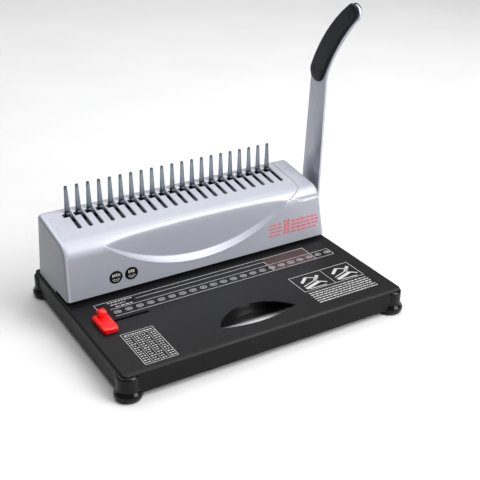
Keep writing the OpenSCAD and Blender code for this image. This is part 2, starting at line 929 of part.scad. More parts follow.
module strap_outline() {
    join_z = 261;
    strap_reach = 117.5;
    translate([shaft_y, shaft_z]) circle(boss_r, $fn = 96);
    polygon([
        [shaft_y - boss_r, shaft_z],
        [shaft_y + boss_r, shaft_z],
        [73.8, join_z - 12],
        [69.5, join_z + 0.5],
        [38.5, join_z + 0.5],
        [40.9, join_z - 12]
    ]);
    intersection() {
        crescent(3, strap_front, strap_front_r);
        polygon([
            strap_tip - tip_across,
            strap_tip + tip_across,
            [strap_reach, join_z + 40],
            [strap_reach, join_z],
            [strap_reach - 100, join_z]
        ]);
    }
    translate(strap_tip) circle(strap_tip_r, $fn = 96);
}

module lever_arm() {
    color([0.58, 0.6, 0.66]) difference() {
        along_x(strap_x, strap_out) strap_outline();
        rod_x(spigot_r + 0.02, strap_x - 1, strap_out + 1, shaft_y, shaft_z);
        for (p = screw_spots) rod_x(clear_r, strap_x - 1, strap_out + 1, p[0], p[1]);
    }
}

module lever_bolt() {
    color(zinc) difference() {
        union() {
            rod_x(2.5, strap_x - 11, strap_out + eps, shaft_y, shaft_z);
            rod_x(8, strap_out, strap_out + 1, shaft_y, shaft_z);
            rod_x(5.5, strap_out + 0.5, strap_out + 3.6, shaft_y, shaft_z);
        }
        translate([strap_out + 1.6, shaft_y, shaft_z]) rotate([0, 90, 0]) cylinder(r = 2.6, h = 5, $fn = 6);
    }
}

// Outline of one moulded half of the grip
module grip_outline() {
    intersection() {
        crescent(0, grip_front, grip_front_r);
        polygon([
            grip_tip - tip_across,
            grip_tip + tip_across,
            grip_foot + foot_across,
            grip_foot - foot_across
        ]);
    }
    translate(grip_foot) circle(grip_foot_r, $fn = 96);
    translate(grip_tip) circle(grip_tip_r, $fn = 96);
}

module grip_inner() {
    color(gloss_black) difference() {
        along_x(strap_x - grip_t, strap_x) grip_outline();
        for (p = screw_spots) {
            rod_x(clear_r, strap_x - grip_t - 1, strap_x + 1, p[0], p[1]);
            rod_x(4, strap_x - grip_t - 1, strap_x - grip_t + 2.2, p[0], p[1]);
        }
    }
}

module grip_outer() {
    color(gloss_black) difference() {
        along_x(strap_out, strap_out + grip_t) grip_outline();
        for (p = screw_spots) {
            rod_x(clear_r, strap_out - 1, strap_out + grip_t + 1, p[0], p[1]);
            rod_x(4, strap_out + grip_t - 2.2, strap_out + grip_t + 1, p[0], p[1]);
        }
    }
}

module grip_screws() {
    inner = strap_x - grip_t + 2.2;
    outer = strap_out + grip_t - 2.2;
    color(zinc) for (p = screw_spots) {
        translate([outer, p[0], p[1]]) rotate([0, 90, 0]) pan_screw(1.8, outer - inner);
        difference() {
            rod_x(3.6, inner - 1.8, inner, p[0], p[1]);
            rod_x(1.85, inner - 0.5, inner + 1, p[0], p[1]);
        }
    }
}

// ---------- Punches ----------

bar_front = 51.5;
bar_back = 69.5;
pocket = 6;

module punch_bar() {
    color(steel) difference() {
        block([stack_left, bar_front, bar_bottom], [stack_right, bar_back, bar_top]);
        for (x = row) block([x - punch_w / 2 - 0.1, punch_y - punch_t / 2 - 0.1, bar_bottom - eps],
            [x + punch_w / 2 + 0.1, punch_y + punch_t / 2 + 0.1, bar_bottom + pocket]);
        for (x = rod_xs) rod_z(guide_rod_r + run_gap, x, punch_y, bar_bottom - eps, bar_top + eps);
    }
}

module punches() {
    color(zinc) for (x = row)
        block([x - punch_w / 2, punch_y - punch_t / 2, throat_top + 1.5],
            [x + punch_w / 2, punch_y + punch_t / 2, bar_bottom + pocket]);
}

// ---------- Comb opener ----------

module hook_plate() {
    hook_top = 121;
    nose_z = 119.8;
    color(dark_steel) difference() {
        union() {
            block([frame_in_left + 3, hook_front, hook_plate_z],
                [frame_in_right - 3, hook_back, hook_plate_z + hook_plate_t]);
            for (x = row) {
                side = x + hook_offset - hook_w / 2;
                block([side, hook_back - hook_len, hook_plate_z + 0.5], [side + hook_w, hook_back, hook_top]);
                block([side - 3.2, hook_back - hook_len + 1, nose_z], [side + 0.5, hook_back - 1, hook_top]);
            }
        }
        for (x = pinion_xs)
            rod_z(1.6, x, hook_front + 6, hook_plate_z - eps, hook_plate_z + hook_plate_t + eps);
    }
}

// Straight rack under the hook plate
module rack(x) {
    rack_front = shaft_y - 3.2;
    rack_back = 94.5;
    rack_top = hook_plate_z;
    gap_top = rack_z + 1.3 * gear_module;
    tooth_pitch = PI * gear_module;
    half_pitch = tooth_pitch / 4 - backlash / 4;
    low = gear_module;
    slope = tan(press_a);
    centres = [for (k = [0 : 5]) shaft_y + k * tooth_pitch];
    color(steel) difference() {
        along_x(x - wheel_t / 2, x + wheel_t / 2) {
            translate([rack_front, gap_top - 0.01])
                square([rack_back - rack_front, rack_top - gap_top + 0.01]);
            for (y = centres) polygon([
                [y - half_pitch + slope * low, rack_z - low],
                [y + half_pitch - slope * low, rack_z - low],
                [y + half_pitch + slope * 1.3 * low, gap_top],
                [y - half_pitch - slope * 1.3 * low, gap_top]
            ]);
        }
        rod_z(1.5, x, hook_front + 6, gap_top - 5, rack_top + eps);
    }
}
module rack_left() {
    rack(pinion_xs[0]);
}
module rack_right() {
    rack(pinion_xs[1]);
}

module rack_screws() {
    color(zinc) for (x = pinion_xs) translate([x, hook_front + 6, hook_plate_z + hook_plate_t])
        pan_screw(1.45, hook_plate_t + 0.7);
}

// ---------- Paper edge guide ----------

guide_front = -52.5;
guide_back = -15.5;
guide_h = 6.5;

// Moulded slider that the side edge of the paper rests against
module edge_guide() {
    tab_x = guide_x + 6;
    tab_w = 10.5;
    tab_back = guide_back - 1;
    tab_front = tab_back - 11;
    z0 = base_top + 0.1;
    color(guide_red) difference() {
        union() {
            along_z(z0, z0 + guide_h)
                translate([guide_x + guide_w / 2, (guide_front + guide_back) / 2])
                    round_rect(guide_w, guide_back - guide_front, 3);
            along_x(tab_x, tab_x + tab_w)
                polygon([[tab_front - 3, z0], [tab_back, z0], [tab_back, z0 + 14], [tab_front + 3, z0 + 14]]);
            block([guide_x + 5, guide_slot_y - guide_slot_w / 2 + 0.15, base_top - 3],
                [guide_x + 14, guide_slot_y + guide_slot_w / 2 - 0.15, z0 + 1]);
        }
        rod_z(1.3, guide_x + 9.5, guide_slot_y, base_top - 4, z0 + 3);
    }
}

// Steel plate under the slot that holds the slider down
module guide_clamp_plate() {
    color(zinc) difference() {
        block([guide_x + 2, guide_slot_y - 9, base_top - 4.6],
            [guide_x + 17, guide_slot_y + 9, base_top - 3]);
        rod_z(1.6, guide_x + 9.5, guide_slot_y, base_top - 6, base_top - 2);
    }
}

module guide_clamp_screw() {
    color(zinc) translate([guide_x + 9.5, guide_slot_y, base_top - 4.6])
        rotate([180, 0, 0]) pan_screw(1.28, 6);
}

// ---------- Chip tray ----------

chip_left = -168;
chip_right = base_w / 2 - 3;

module chip_tray() {
    floor_t = 1.5;
    color(gloss_black) difference() {
        block([chip_left, tray_front, chip_low], [chip_right, tray_back, chip_top]);
        block([chip_left + floor_t, tray_front + floor_t, chip_low + floor_t],
            [chip_right - floor_t, tray_back - floor_t, chip_top + eps]);
    }
}

// Front panel of the chip tray, with a ledge for the fingers
module chip_tray_panel() {
    rim = 0.3;
    side = 2;
    ledge = 8;
    color(gloss_black) difference() {
        block([chip_right, tray_front - side, chip_low - rim],
            [base_w / 2 + 0.6, tray_back + side, chip_top + rim]);
        block([chip_right + 1.8, tray_front + ledge, chip_low - 1],
            [base_w / 2 + 1, tray_back - ledge, chip_low + 5]);
    }
}

base_tray();
corner_post_front_left();
corner_post_front_right();
corner_post_back_left();
corner_post_back_right();
rubber_feet();
foot_screws();
finger_recess();
chip_tray_rails();
sub_frame();
side_frame_left();
side_frame_right();
shaft_bush_left();
shaft_bush_right();
die_plate();
paper_stop_bar();
punch_guide_plate();
stack_screws();
plate_screws();
frame_screws();
guide_rods();
return_spring_left();
return_spring_right();
tine_plate();
slide_rail_left();
slide_rail_right();
top_cover();
end_cap_right();
cover_screws();
badge_left();
badge_right();
main_shaft();
retaining_ring();
cam_left();
cam_right();
pinion_left();
pinion_right();
cross_pins();
lever_hub();
lever_arm();
lever_bolt();
grip_inner();
grip_outer();
grip_screws();
punch_bar();
punches();
hook_plate();
rack_left();
rack_right();
rack_screws();
edge_guide();
guide_clamp_plate();
guide_clamp_screw();
chip_tray();
chip_tray_panel();
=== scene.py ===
import math
import random

import bmesh
import bpy
from mathutils import Matrix, Vector


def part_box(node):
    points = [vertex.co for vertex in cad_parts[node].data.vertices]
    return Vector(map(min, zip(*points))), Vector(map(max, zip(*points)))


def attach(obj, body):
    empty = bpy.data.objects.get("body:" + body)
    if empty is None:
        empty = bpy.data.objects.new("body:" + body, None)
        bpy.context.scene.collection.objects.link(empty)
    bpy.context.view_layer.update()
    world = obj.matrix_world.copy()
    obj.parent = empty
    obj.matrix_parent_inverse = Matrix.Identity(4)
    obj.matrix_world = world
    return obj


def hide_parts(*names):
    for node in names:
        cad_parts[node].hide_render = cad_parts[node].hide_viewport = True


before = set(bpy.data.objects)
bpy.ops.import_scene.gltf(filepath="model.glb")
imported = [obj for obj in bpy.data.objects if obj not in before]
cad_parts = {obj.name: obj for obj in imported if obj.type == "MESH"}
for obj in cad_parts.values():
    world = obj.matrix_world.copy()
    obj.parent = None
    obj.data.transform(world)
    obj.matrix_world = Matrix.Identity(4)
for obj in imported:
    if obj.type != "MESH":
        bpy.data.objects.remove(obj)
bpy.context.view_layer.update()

MM = 0.001
SEED = 11


# ---------- Geometry helpers: all lengths in millimetres ----------

def box_mm(node):
    """Lowest and highest corner of a CAD node in millimetres."""
    low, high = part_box(node)
    return low / MM, high / MM


def add_object(name, mesh, material, body, smooth=35):
    """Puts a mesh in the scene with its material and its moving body."""
    mesh.shade_smooth()
    mesh.set_sharp_from_angle(angle=math.radians(smooth))
    obj = bpy.data.objects.new(name, mesh)
    bpy.context.scene.collection.objects.link(obj)
    mesh.materials.append(material)
    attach(obj, body)
    return obj


def mesh_from(name, parts):
    """One mesh from a list of (vertices, faces) parts, with outward normals."""
    bm = bmesh.new()
    for vertices, faces in parts:
        made = [bm.verts.new(Vector(v) * MM) for v in vertices]
        for face in faces:
            corners = [made[i] for i in face]
            if len(set(corners)) > 2:
                bm.faces.new(corners)
    bmesh.ops.recalc_face_normals(bm, faces=bm.faces)
    mesh = bpy.data.meshes.new(name)
    bm.to_mesh(mesh)
    bm.free()
    return mesh


def loft(loops, closed_ends=True):
    """Skin over loops that all have the same number of points."""
    count = len(loops[0])
    vertices = [p for loop in loops for p in loop]
    faces = []
    for k in range(len(loops) - 1):
        for i in range(count):
            j = (i + 1) % count
            faces.append((k * count + i, k * count + j, (k + 1) * count + j, (k + 1) * count + i))
    if closed_ends:
        faces.append(tuple(range(count))[::-1])
        faces.append(tuple((len(loops) - 1) * count + i for i in range(count)))
    return vertices, faces


def ring_loft(loops):
    """Skin over loops whose last loop joins the first one."""
    vertices, faces = loft(loops, closed_ends=False)
    count = len(loops[0])
    last = (len(loops) - 1) * count
    for i in range(count):
        j = (i + 1) % count
        faces.append((last + i, last + j, j, i))
    return vertices, faces


def signed_area(loop):
    """Area of a flat loop, positive when it runs anticlockwise."""
    pairs = zip(loop, loop[1:] + loop[:1])
    return 0.5 * sum(a[0] * b[1] - b[0] * a[1] for a, b in pairs)


def inset_loop(loop, distance):
    """A flat loop moved inwards by a distance, along the mean normal at each point."""
    sign = 1 if signed_area(loop) > 0 else -1
    moved = []
    for i, (u, v) in enumerate(loop):
        before = Vector(loop[i - 1])
        after = Vector(loop[(i + 1) % len(loop)])
        here = Vector((u, v))
        first = (here - before).normalized()
        second = (after - here).normalized()
        normal = Vector((-(first.y + second.y), first.x + second.x)) * sign
        scale = max(0.5, math.sqrt(max(0.0, (1 + first.dot(second)) / 2)))
        normal.normalize()
        moved.append((u + normal.x * distance / scale, v + normal.y * distance / scale))
    return moved


def resample(loop, step):
    """The same closed loop with evenly spaced points."""
    points = [Vector(p) for p in loop] + [Vector(loop[0])]
    lengths = [0.0]
    for a, b in zip(points, points[1:]):
        lengths.append(lengths[-1] + (b - a).length)
    count = max(8, round(lengths[-1] / step))
    even = []
    k = 0
    for i in range(count):
        target = lengths[-1] * i / count
        while lengths[k + 1] < target:
            k += 1
        share = (target - lengths[k]) / max(1e-9, lengths[k + 1] - lengths[k])
        even.append(tuple(points[k].lerp(points[k + 1], share)))
    return even


def face_loops(node, axis, level):
    """Closed outlines of the flat face that a CAD node has at a level along an axis, longest first."""
    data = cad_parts[node].data
    keep = [k for k in range(3) if k != axis]
    key = {}
    for v in data.vertices:
        p = v.co / MM
        if abs(p[axis] - level) < 0.02:
            key[v.index] = (round(p[keep[0]], 3), round(p[keep[1]], 3))
    edges = {}
    for face in data.polygons:
        corners = list(face.vertices)
        if all(c in key for c in corners):
            for a, b in zip(corners, corners[1:] + corners[:1]):
                edge = frozenset((key[a], key[b]))
                if len(edge) == 2:
                    edges[edge] = edges.get(edge, 0) + 1
    joined = {}
    for edge, uses in edges.items():
        if uses == 1:
            a, b = tuple(edge)
            joined.setdefault(a, []).append(b)
            joined.setdefault(b, []).append(a)
    loops = []
    left = set(joined)
    while left:
        start = min(left, key=lambda p: (len(joined[p]), p))
        loop = [start]
        left.discard(start)
        while True:
            follow = [q for q in joined[loop[-1]] if q in left]
            if not follow:
                break
            loop.append(follow[0])
            left.discard(follow[0])
        loops.append(loop)
    return sorted(loops, key=lambda l: -abs(signed_area(l)))


def span_at(loop, axis, level):
    """Lowest and highest crossing of a flat outline with a line across it."""
    crossing = []
    for a, b in zip(loop, loop[1:] + loop[:1]):
        if (a[axis] - level) * (b[axis] - level) <= 0 and abs(a[axis] - b[axis]) > 1e-6:
            t = (level - a[axis]) / (b[axis] - a[axis])
            crossing.append(a[1 - axis] + (b[1 - axis] - a[1 - axis]) * t)
    if len(crossing) < 2:
        return None
    return min(crossing), max(crossing)


def circle(cu, cv, r, count=32, start=0.0, end=2 * math.pi):
    """Points of a circle, or of an arc with both of its ends."""
    full = abs(end - start) > 2 * math.pi - 1e-6
    steps = count if full else count - 1
    angles = [start + (end - start) * i / steps for i in range(count)]
    return [(cu + r * math.cos(a), cv + r * math.sin(a)) for a in angles]


def rounded_rect(u0, v0, u1, v1, r, count=6):
    """Corner points of a rectangle with round corners, anticlockwise."""
    corners = [(u1 - r, v0 + r, -90), (u1 - r, v1 - r, 0), (u0 + r, v1 - r, 90), (u0 + r, v0 + r, 180)]
    loop = []
    for cu, cv, a in corners:
        first = math.radians(a)
        loop += circle(cu, cv, r, count, first, first + math.pi / 2)
    return loop


def on_x(loop, x):
    return [(x, u, v) for u, v in loop]


def on_y(loop, y):
    return [(u, y, v) for u, v in loop]


def on_z(loop, z):
    return [(u, v, z) for u, v in loop]


def slab(loop, place, a, b, bevel):
    """A flat plate between two levels with bevelled edges."""
    step = bevel if b > a else -bevel
    inner = inset_loop(loop, bevel)
    middle = inset_loop(loop, bevel * 0.3)
    return loft([
        place(inner, a), place(middle, a + step * 0.3), place(loop, a + step),
        place(loop, b - step), place(middle, b - step * 0.3), place(inner, b),
    ])


def lathe(profile, centre, axis, count=48):
    """Turned solid: profile points are (radius, level along the axis)."""
    loops = []
    for r, level in profile:
        loop = circle(0, 0, max(r, 0.01), count)
        if axis == 2:
            loops.append([(centre[0] + u, centre[1] + v, level) for u, v in loop])
        elif axis == 1:
            loops.append([(centre[0] + u, level, centre[2] + v) for u, v in loop])
        else:
            loops.append([(level, centre[1] + u, centre[2] + v) for u, v in loop])
    return loft(loops)


def baked(obj):
    """Applies the modifiers of an object to its mesh."""
    graph = bpy.context.evaluated_depsgraph_get()
    mesh = bpy.data.meshes.new_from_object(obj.evaluated_get(graph))
    old = obj.data
    obj.modifiers.clear()
    obj.data = mesh
    bpy.data.meshes.remove(old)
    return obj


def boolean(obj, cutter_mesh, operation):
    """Cuts, joins or keeps part of an object with a solid that is then thrown away."""
    cutter = bpy.data.objects.new("cutter", cutter_mesh)
    bpy.context.scene.collection.objects.link(cutter)
    modifier = obj.modifiers.new("cut", "BOOLEAN")
    modifier.operation = operation
    modifier.solver = "MANIFOLD"
    modifier.object = cutter
    baked(obj)
    bpy.data.objects.remove(cutter)
    return obj


def resharpen(obj, degrees):
    """Smooth shading with sharp edges above an angle."""
    obj.data.shade_smooth()
    obj.data.set_sharp_from_angle(angle=math.radians(degrees))


# ---------- Materials ----------

def ramp_between(nodes, dark, light, low=0.3, high=0.7):
    """Colour ramp node from a dark to a light colour."""
    ramp = nodes.new("ShaderNodeValToRGB")
    ramp.color_ramp.elements[0].position = low
    ramp.color_ramp.elements[0].color = (*dark, 1)
    ramp.color_ramp.elements[1].position = high
    ramp.color_ramp.elements[1].color = (*light, 1)
    return ramp


def surface(name, dark, light, rough, metallic=0.0, grain=900.0, bump=0.05, patch=25.0,
            stretch=(1, 1, 1), coat=0.0, specular=0.5, depth=0.00015):
    """Procedural finish: mottled colour, patchy roughness and a fine bumpy grain."""
    material = bpy.data.materials.new(name)
    material.use_nodes = True
    nodes = material.node_tree.nodes
    links = material.node_tree.links
    shader = nodes["Principled BSDF"]
    shader.inputs["Metallic"].default_value = metallic
    shader.inputs["Coat Weight"].default_value = coat
    shader.inputs["Coat Roughness"].default_value = 0.12
    shader.inputs["Specular IOR Level"].default_value = specular
    place = nodes.new("ShaderNodeTexCoord")
    mapping = nodes.new("ShaderNodeMapping")
    mapping.inputs["Scale"].default_value = stretch
    links.new(place.outputs["Object"], mapping.inputs["Vector"])
    fine = nodes.new("ShaderNodeTexNoise")
    fine.inputs["Scale"].default_value = grain
    fine.inputs["Detail"].default_value = 5.0
    links.new(mapping.outputs["Vector"], fine.inputs["Vector"])
    broad = nodes.new("ShaderNodeTexNoise")
    broad.inputs["Scale"].default_value = patch
    broad.inputs["Detail"].default_value = 3.0
    links.new(place.outputs["Object"], broad.inputs["Vector"])
    colour = ramp_between(nodes, dark, light)
    links.new(fine.outputs["Fac"], colour.inputs["Fac"])
    links.new(colour.outputs["Color"], shader.inputs["Base Color"])
    spread = nodes.new("ShaderNodeMapRange")
    spread.inputs["From Min"].default_value = 0.3
    spread.inputs["From Max"].default_value = 0.7
    spread.inputs["To Min"].default_value = rough[0]
    spread.inputs["To Max"].default_value = rough[1]
    links.new(broad.outputs["Fac"], spread.inputs["Value"])
    links.new(spread.outputs["Result"], shader.inputs["Roughness"])
    relief = nodes.new("ShaderNodeBump")
    relief.inputs["Strength"].default_value = bump
    relief.inputs["Distance"].default_value = depth
    links.new(fine.outputs["Fac"], relief.inputs["Height"])
    links.new(relief.outputs["Normal"], shader.inputs["Normal"])
    return material


def shade_along(material, axis, stops):
    """Multiplies the colour by a greyscale ramp over the stops (place in metres, shade) along an axis."""
    nodes = material.node_tree.nodes
    links = material.node_tree.links
    place = nodes.new("ShaderNodeTexCoord")
    split = nodes.new("ShaderNodeSeparateXYZ")
    links.new(place.outputs["Object"], split.inputs["Vector"])
    span = nodes.new("ShaderNodeMapRange")
    first = stops[0][0]
    last = stops[-1][0]
    span.inputs["From Min"].default_value = first
    span.inputs["From Max"].default_value = last
    links.new(split.outputs[axis], span.inputs["Value"])
    ramp = nodes.new("ShaderNodeValToRGB")
    links.new(span.outputs["Result"], ramp.inputs["Fac"])
    points = ramp.color_ramp.elements
    while len(points) < len(stops):
        points.new(0.5)
    for point, (where, shade) in zip(points, stops):
        point.position = (where - first) / (last - first)
        point.color = (shade, shade, shade, 1)
    shader = nodes["Principled BSDF"]
    colour = shader.inputs["Base Color"].links[0].from_socket
    blend = nodes.new("ShaderNodeVectorMath")
    blend.operation = "MULTIPLY"
    links.new(colour, blend.inputs[0])
    links.new(ramp.outputs["Color"], blend.inputs[1])
    links.new(blend.outputs["Vector"], shader.inputs["Base Color"])


silver_paint = surface("silver_paint", (0.235, 0.245, 0.282), (0.285, 0.297, 0.34), (0.34, 0.4),
                       metallic=0.12, grain=2600, bump=0.08, specular=0.75)
powder_black = surface("powder_black", (0.003, 0.003, 0.0033), (0.006, 0.006, 0.0066), (0.38, 0.46),
                       grain=1800, bump=0.16, specular=0.13)
gloss_black = surface("gloss_black", (0.002, 0.002, 0.0023), (0.004, 0.004, 0.0044), (0.1, 0.16),
                      grain=500, bump=0.02, specular=0.2)
# The recess's grey base colour carries a painted highlight; the ramps further down turn most of it black
# with painted shade
dish_black_painted_light = surface("dish_black_painted_light", (0.44, 0.44, 0.45), (0.50, 0.50, 0.51), (0.2, 0.3),
                     grain=500, bump=0.02, specular=0.12)
grip_black = surface("grip_black", (0.004, 0.0045, 0.007), (0.011, 0.012, 0.016), (0.36, 0.48),
                     grain=1700, bump=0.3, depth=0.0003, specular=0.2)
strap_satin = surface("strap_satin", (0.33, 0.345, 0.40), (0.44, 0.455, 0.51), (0.3, 0.38),
                      metallic=0.75, grain=1500, bump=0.05, stretch=(1, 1, 0.04))
tine_steel = surface("tine_steel", (0.13, 0.15, 0.18), (0.20, 0.225, 0.265), (0.28, 0.4),
                     metallic=0.8, grain=1400, bump=0.06, stretch=(1, 1, 0.06))
red_plastic = surface("red_plastic", (0.52, 0.002, 0.002), (0.62, 0.004, 0.003), (0.14, 0.22),
                      grain=700, bump=0.03, specular=0.3)
rubber = surface("rubber", (0.012, 0.012, 0.012), (0.022, 0.022, 0.022), (0.6, 0.75),
                 grain=1500, bump=0.2)
zinc = surface("zinc", (0.45, 0.45, 0.43), (0.62, 0.62, 0.6), (0.25, 0.4),
               metallic=0.9, grain=1300, bump=0.08)
ground = surface("ground_steel", (0.32, 0.33, 0.35), (0.42, 0.43, 0.45), (0.3, 0.42), metallic=0.9,
                 grain=1200, bump=0.08, stretch=(0.06, 1, 1))
blue_steel = surface("blue_steel", (0.1, 0.11, 0.13), (0.18, 0.19, 0.22), (0.35, 0.5), metallic=0.85,
                     grain=1200, bump=0.08)
bronze = surface("bronze", (0.42, 0.27, 0.1), (0.55, 0.36, 0.15), (0.35, 0.5),
                 metallic=0.9, grain=1600, bump=0.1)
acetal = surface("acetal", (0.62, 0.62, 0.58), (0.72, 0.72, 0.68), (0.4, 0.5), grain=900, bump=0.04)
white_ink = surface("white_ink", (0.24, 0.24, 0.24), (0.42, 0.42, 0.42), (0.5, 0.6), grain=2400, bump=0.05)
red_ink = surface("red_ink", (0.42, 0.04, 0.06), (0.55, 0.09, 0.11), (0.45, 0.55), grain=2400, bump=0.05)
maroon_ink = surface("maroon_ink", (0.016, 0.005, 0.005), (0.028, 0.008, 0.007), (0.4, 0.5),
                     grain=2400, bump=0.05)

node_finish = {
    "base_tray": powder_black, "chip_tray_rails": powder_black, "sub_frame": powder_black,
    "rubber_feet": rubber, "foot_screws": zinc, "side_frame_left": blue_steel,
    "side_frame_right": blue_steel, "shaft_bush_left": bronze, "shaft_bush_right": bronze,
    "die_plate": ground, "paper_stop_bar": blue_steel, "punch_guide_plate": ground,
    "stack_screws": zinc, "plate_screws": zinc, "frame_screws": zinc, "guide_rods": zinc,
    "return_spring_left": zinc, "return_spring_right": zinc, "slide_rail_left": acetal,
    "slide_rail_right": acetal, "cover_screws": zinc, "main_shaft": ground,
    "retaining_ring": blue_steel, "cam_left": blue_steel, "cam_right": blue_steel,
    "pinion_left": blue_steel, "pinion_right": blue_steel, "cross_pins": zinc,
    "lever_hub": zinc, "lever_bolt": zinc, "grip_screws": gloss_black, "punch_bar": ground,
    "punches": ground, "hook_plate": blue_steel, "rack_left": ground, "rack_right": ground,
    "rack_screws": zinc, "guide_clamp_plate": zinc, "guide_clamp_screw": zinc,
    "chip_tray": gloss_black, "chip_tray_panel": gloss_black,
}


def dress_node(node, material):
    """Gives a carried-over CAD node its finish."""
    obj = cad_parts[node]
    obj.data.materials.clear()
    obj.data.materials.append(material)


# ---------- Cover ----------

cover_low, cover_high = box_mm("top_cover")
FRONT = cover_low.y
BACK = cover_high.y
FOOT = cover_low.z
THROAT_TOP = FOOT + 4.0
LEFT = cover_low.x
RIGHT = cover_high.x
ROLL_R = 18.0
ROLL_Y = FRONT + ROLL_R
ROLL_Z = FOOT + 58.8
BACK_R = 6.0
SLOPE = math.radians(8.5)
TOP_NORMAL = Vector((-math.sin(SLOPE), math.cos(SLOPE)))
BACK_NORMAL = Vector((math.cos(SLOPE), math.sin(SLOPE)))
BACK_CENTRE = (TOP_NORMAL.dot((ROLL_Y, ROLL_Z)) + ROLL_R - BACK_R) * TOP_NORMAL \
    + (BACK_NORMAL.dot((BACK, FOOT)) - BACK_R) * BACK_NORMAL
ROLL_END = math.pi / 2 - SLOPE
END_FILLET = 5.0
WALL = 1.5

SCOOP_X = -4.0
SCOOP_HALF = 130.0
SCOOP_R = 197.0
SCOOP_LOW = 52.3
SCOOP_DEPTH = 6.0
LEDGE_H = 7.5
TAIL_START = 126.0
TAIL_END = 150.0
TAIL_Z = 95.5
TAIL_DEPTH = 1.6
TAIL_H = 2.3

LEDGE_ROWS = (0.0, 0.03, 0.08, 0.2, 0.35, 0.5, 0.65, 0.8, 0.9, 1.0)
LOWER_ROWS = 24
UPPER_ROWS = 44
TOP_ROWS = 20
BACK_ROLL_ROWS = 8
BACK_ROWS = 10


def smoothstep(t):
    """Smooth rise from 0 to 1."""
    t = min(1.0, max(0.0, t))
    return t * t * (3 - 2 * t)


# How far the cover rises for each millimetre that its left end leans in
LEFT_RISE = 95
# The right end leans in from the throat up to a shoulder, and less above it
SHOULDER_Z = 98
SHOULDER_IN = 10
SHOULDER_RISE = 59
UPPER_IN = 2
UPPER_RISE = 32


def left_end(z):
    """Place of the leaning left end at a height."""
    return LEFT + (z - FOOT) / LEFT_RISE


def right_end(z):
    """Place of the right end at a height: it leans in two stages above the throat."""
    if z < THROAT_TOP:
        return RIGHT
    if z < SHOULDER_Z:
        return RIGHT - SHOULDER_IN * (z - THROAT_TOP) / SHOULDER_RISE
    return RIGHT - SHOULDER_IN - UPPER_IN * (z - SHOULDER_Z) / UPPER_RISE


def ledge_at(x):
    """Height of the ledge's lower edge, its rise and its depth at a place along the cover."""
    t = (x - SCOOP_X) / SCOOP_HALF
    taper = math.sqrt(max(0.0, 1 - t * t))
    reach = min(abs(x - SCOOP_X), SCOOP_HALF)
    low = SCOOP_LOW + SCOOP_R - math.sqrt(SCOOP_R ** 2 - reach ** 2)
    depth = SCOOP_DEPTH * taper
    rise = max(1.0, LEDGE_H * taper)
    if x > SCOOP_X:
        tail = smoothstep((x - TAIL_START) / (TAIL_END - TAIL_START))
        low += (TAIL_Z - low) * tail
        depth = max(depth, TAIL_DEPTH * smoothstep((x - TAIL_START + 14) / 14))
        rise = max(rise, TAIL_H)
    return low, rise, depth


def along_front(z):
    """Distance along the front from the foot up to a height."""
    if z <= ROLL_Z:
        return z - FOOT
    return ROLL_Z - FOOT + ROLL_R * math.asin(min(1.0, (z - ROLL_Z) / ROLL_R))


def front_point(s, inset):
    """Depth and height at a distance up the front: a flat part, then the roll."""
    flat = ROLL_Z - FOOT
    if s <= flat:
        return FRONT + inset, FOOT + s
    a = (s - flat) / ROLL_R
    r = ROLL_R - inset
    return ROLL_Y - r * math.cos(a), ROLL_Z + r * math.sin(a)


def cover_rows(x, inset):
    """Cross-section of the cover at a place along it, from the front foot over the top to the back foot."""
    low, rise, depth = ledge_at(x)
    start = along_front(low)
    stop = start + rise
    total = ROLL_Z - FOOT + ROLL_R * ROLL_END
    rows = [front_point(start * i / LOWER_ROWS, inset) for i in range(LOWER_ROWS)]
    above = [(start + rise * u, 1 - (1 - u) ** 1.35) for u in LEDGE_ROWS]
    above += [(stop + (total - stop) * i / UPPER_ROWS, 1.0) for i in range(1, UPPER_ROWS + 1)]
    for s, ramp in above:
        y, z = front_point(s, inset)
        floor = FRONT + inset + depth * ramp
        blend = 3.0 * depth / SCOOP_DEPTH * ramp
        rows.append(((y + floor + math.sqrt((y - floor) ** 2 + blend ** 2)) / 2, z))
    first = Vector(rows[-1])
    r = BACK_R - inset
    last = BACK_CENTRE + r * TOP_NORMAL
    for i in range(1, TOP_ROWS):
        rows.append(tuple(first.lerp(last, i / TOP_ROWS)))
    for i in range(BACK_ROLL_ROWS + 1):
        a = SLOPE + math.pi / 2 * (1 - i / BACK_ROLL_ROWS)
        rows.append((BACK_CENTRE.x + r * math.cos(a), BACK_CENTRE.y + r * math.sin(a)))
    upper = Vector(rows[-1])
    foot = Vector((BACK - inset / math.cos(SLOPE), FOOT))
    for i in range(1, BACK_ROWS + 1):
        rows.append(tuple(upper.lerp(foot, i / BACK_ROWS)))
    return rows


# Sections stand upright between the left fillet and this place, and then turn with the right end
UPRIGHT_START = 8
UPRIGHT_END = 156
UPRIGHT_STEP = 2.0
TURN_LENGTH = 20
TURN_STEPS = 9
FILLET_SECTIONS = 8


def cover_stations():
    """(nominal place, inset, function of height that gives the real place) for each section."""
    stations = []
    for i in range(FILLET_SECTIONS):
        a = math.pi / 2 * i / (FILLET_SECTIONS - 1)
        d = END_FILLET * (1 - math.cos(a))
        stations.append((LEFT + d, END_FILLET * (1 - math.sin(a)), lambda z, d=d: left_end(z) + d))
    x = LEFT + UPRIGHT_START
    while x < UPRIGHT_END:
        stations.append((x, 0.0, lambda z, x=x: x))
        x += UPRIGHT_STEP
    for i in range(1, TURN_STEPS):
        t = i / TURN_STEPS
        stations.append((UPRIGHT_END + TURN_LENGTH * t, 0.0,
                         lambda z, t=t: UPRIGHT_END + (right_end(z) - END_FILLET - UPRIGHT_END) * t))
    for i in range(FILLET_SECTIONS):
        a = math.pi / 2 * (1 - i / (FILLET_SECTIONS - 1))
        d = END_FILLET * (1 - math.cos(a))
        stations.append((RIGHT - d, END_FILLET * (1 - math.sin(a)), lambda z, d=d: right_end(z) - d))
    return stations


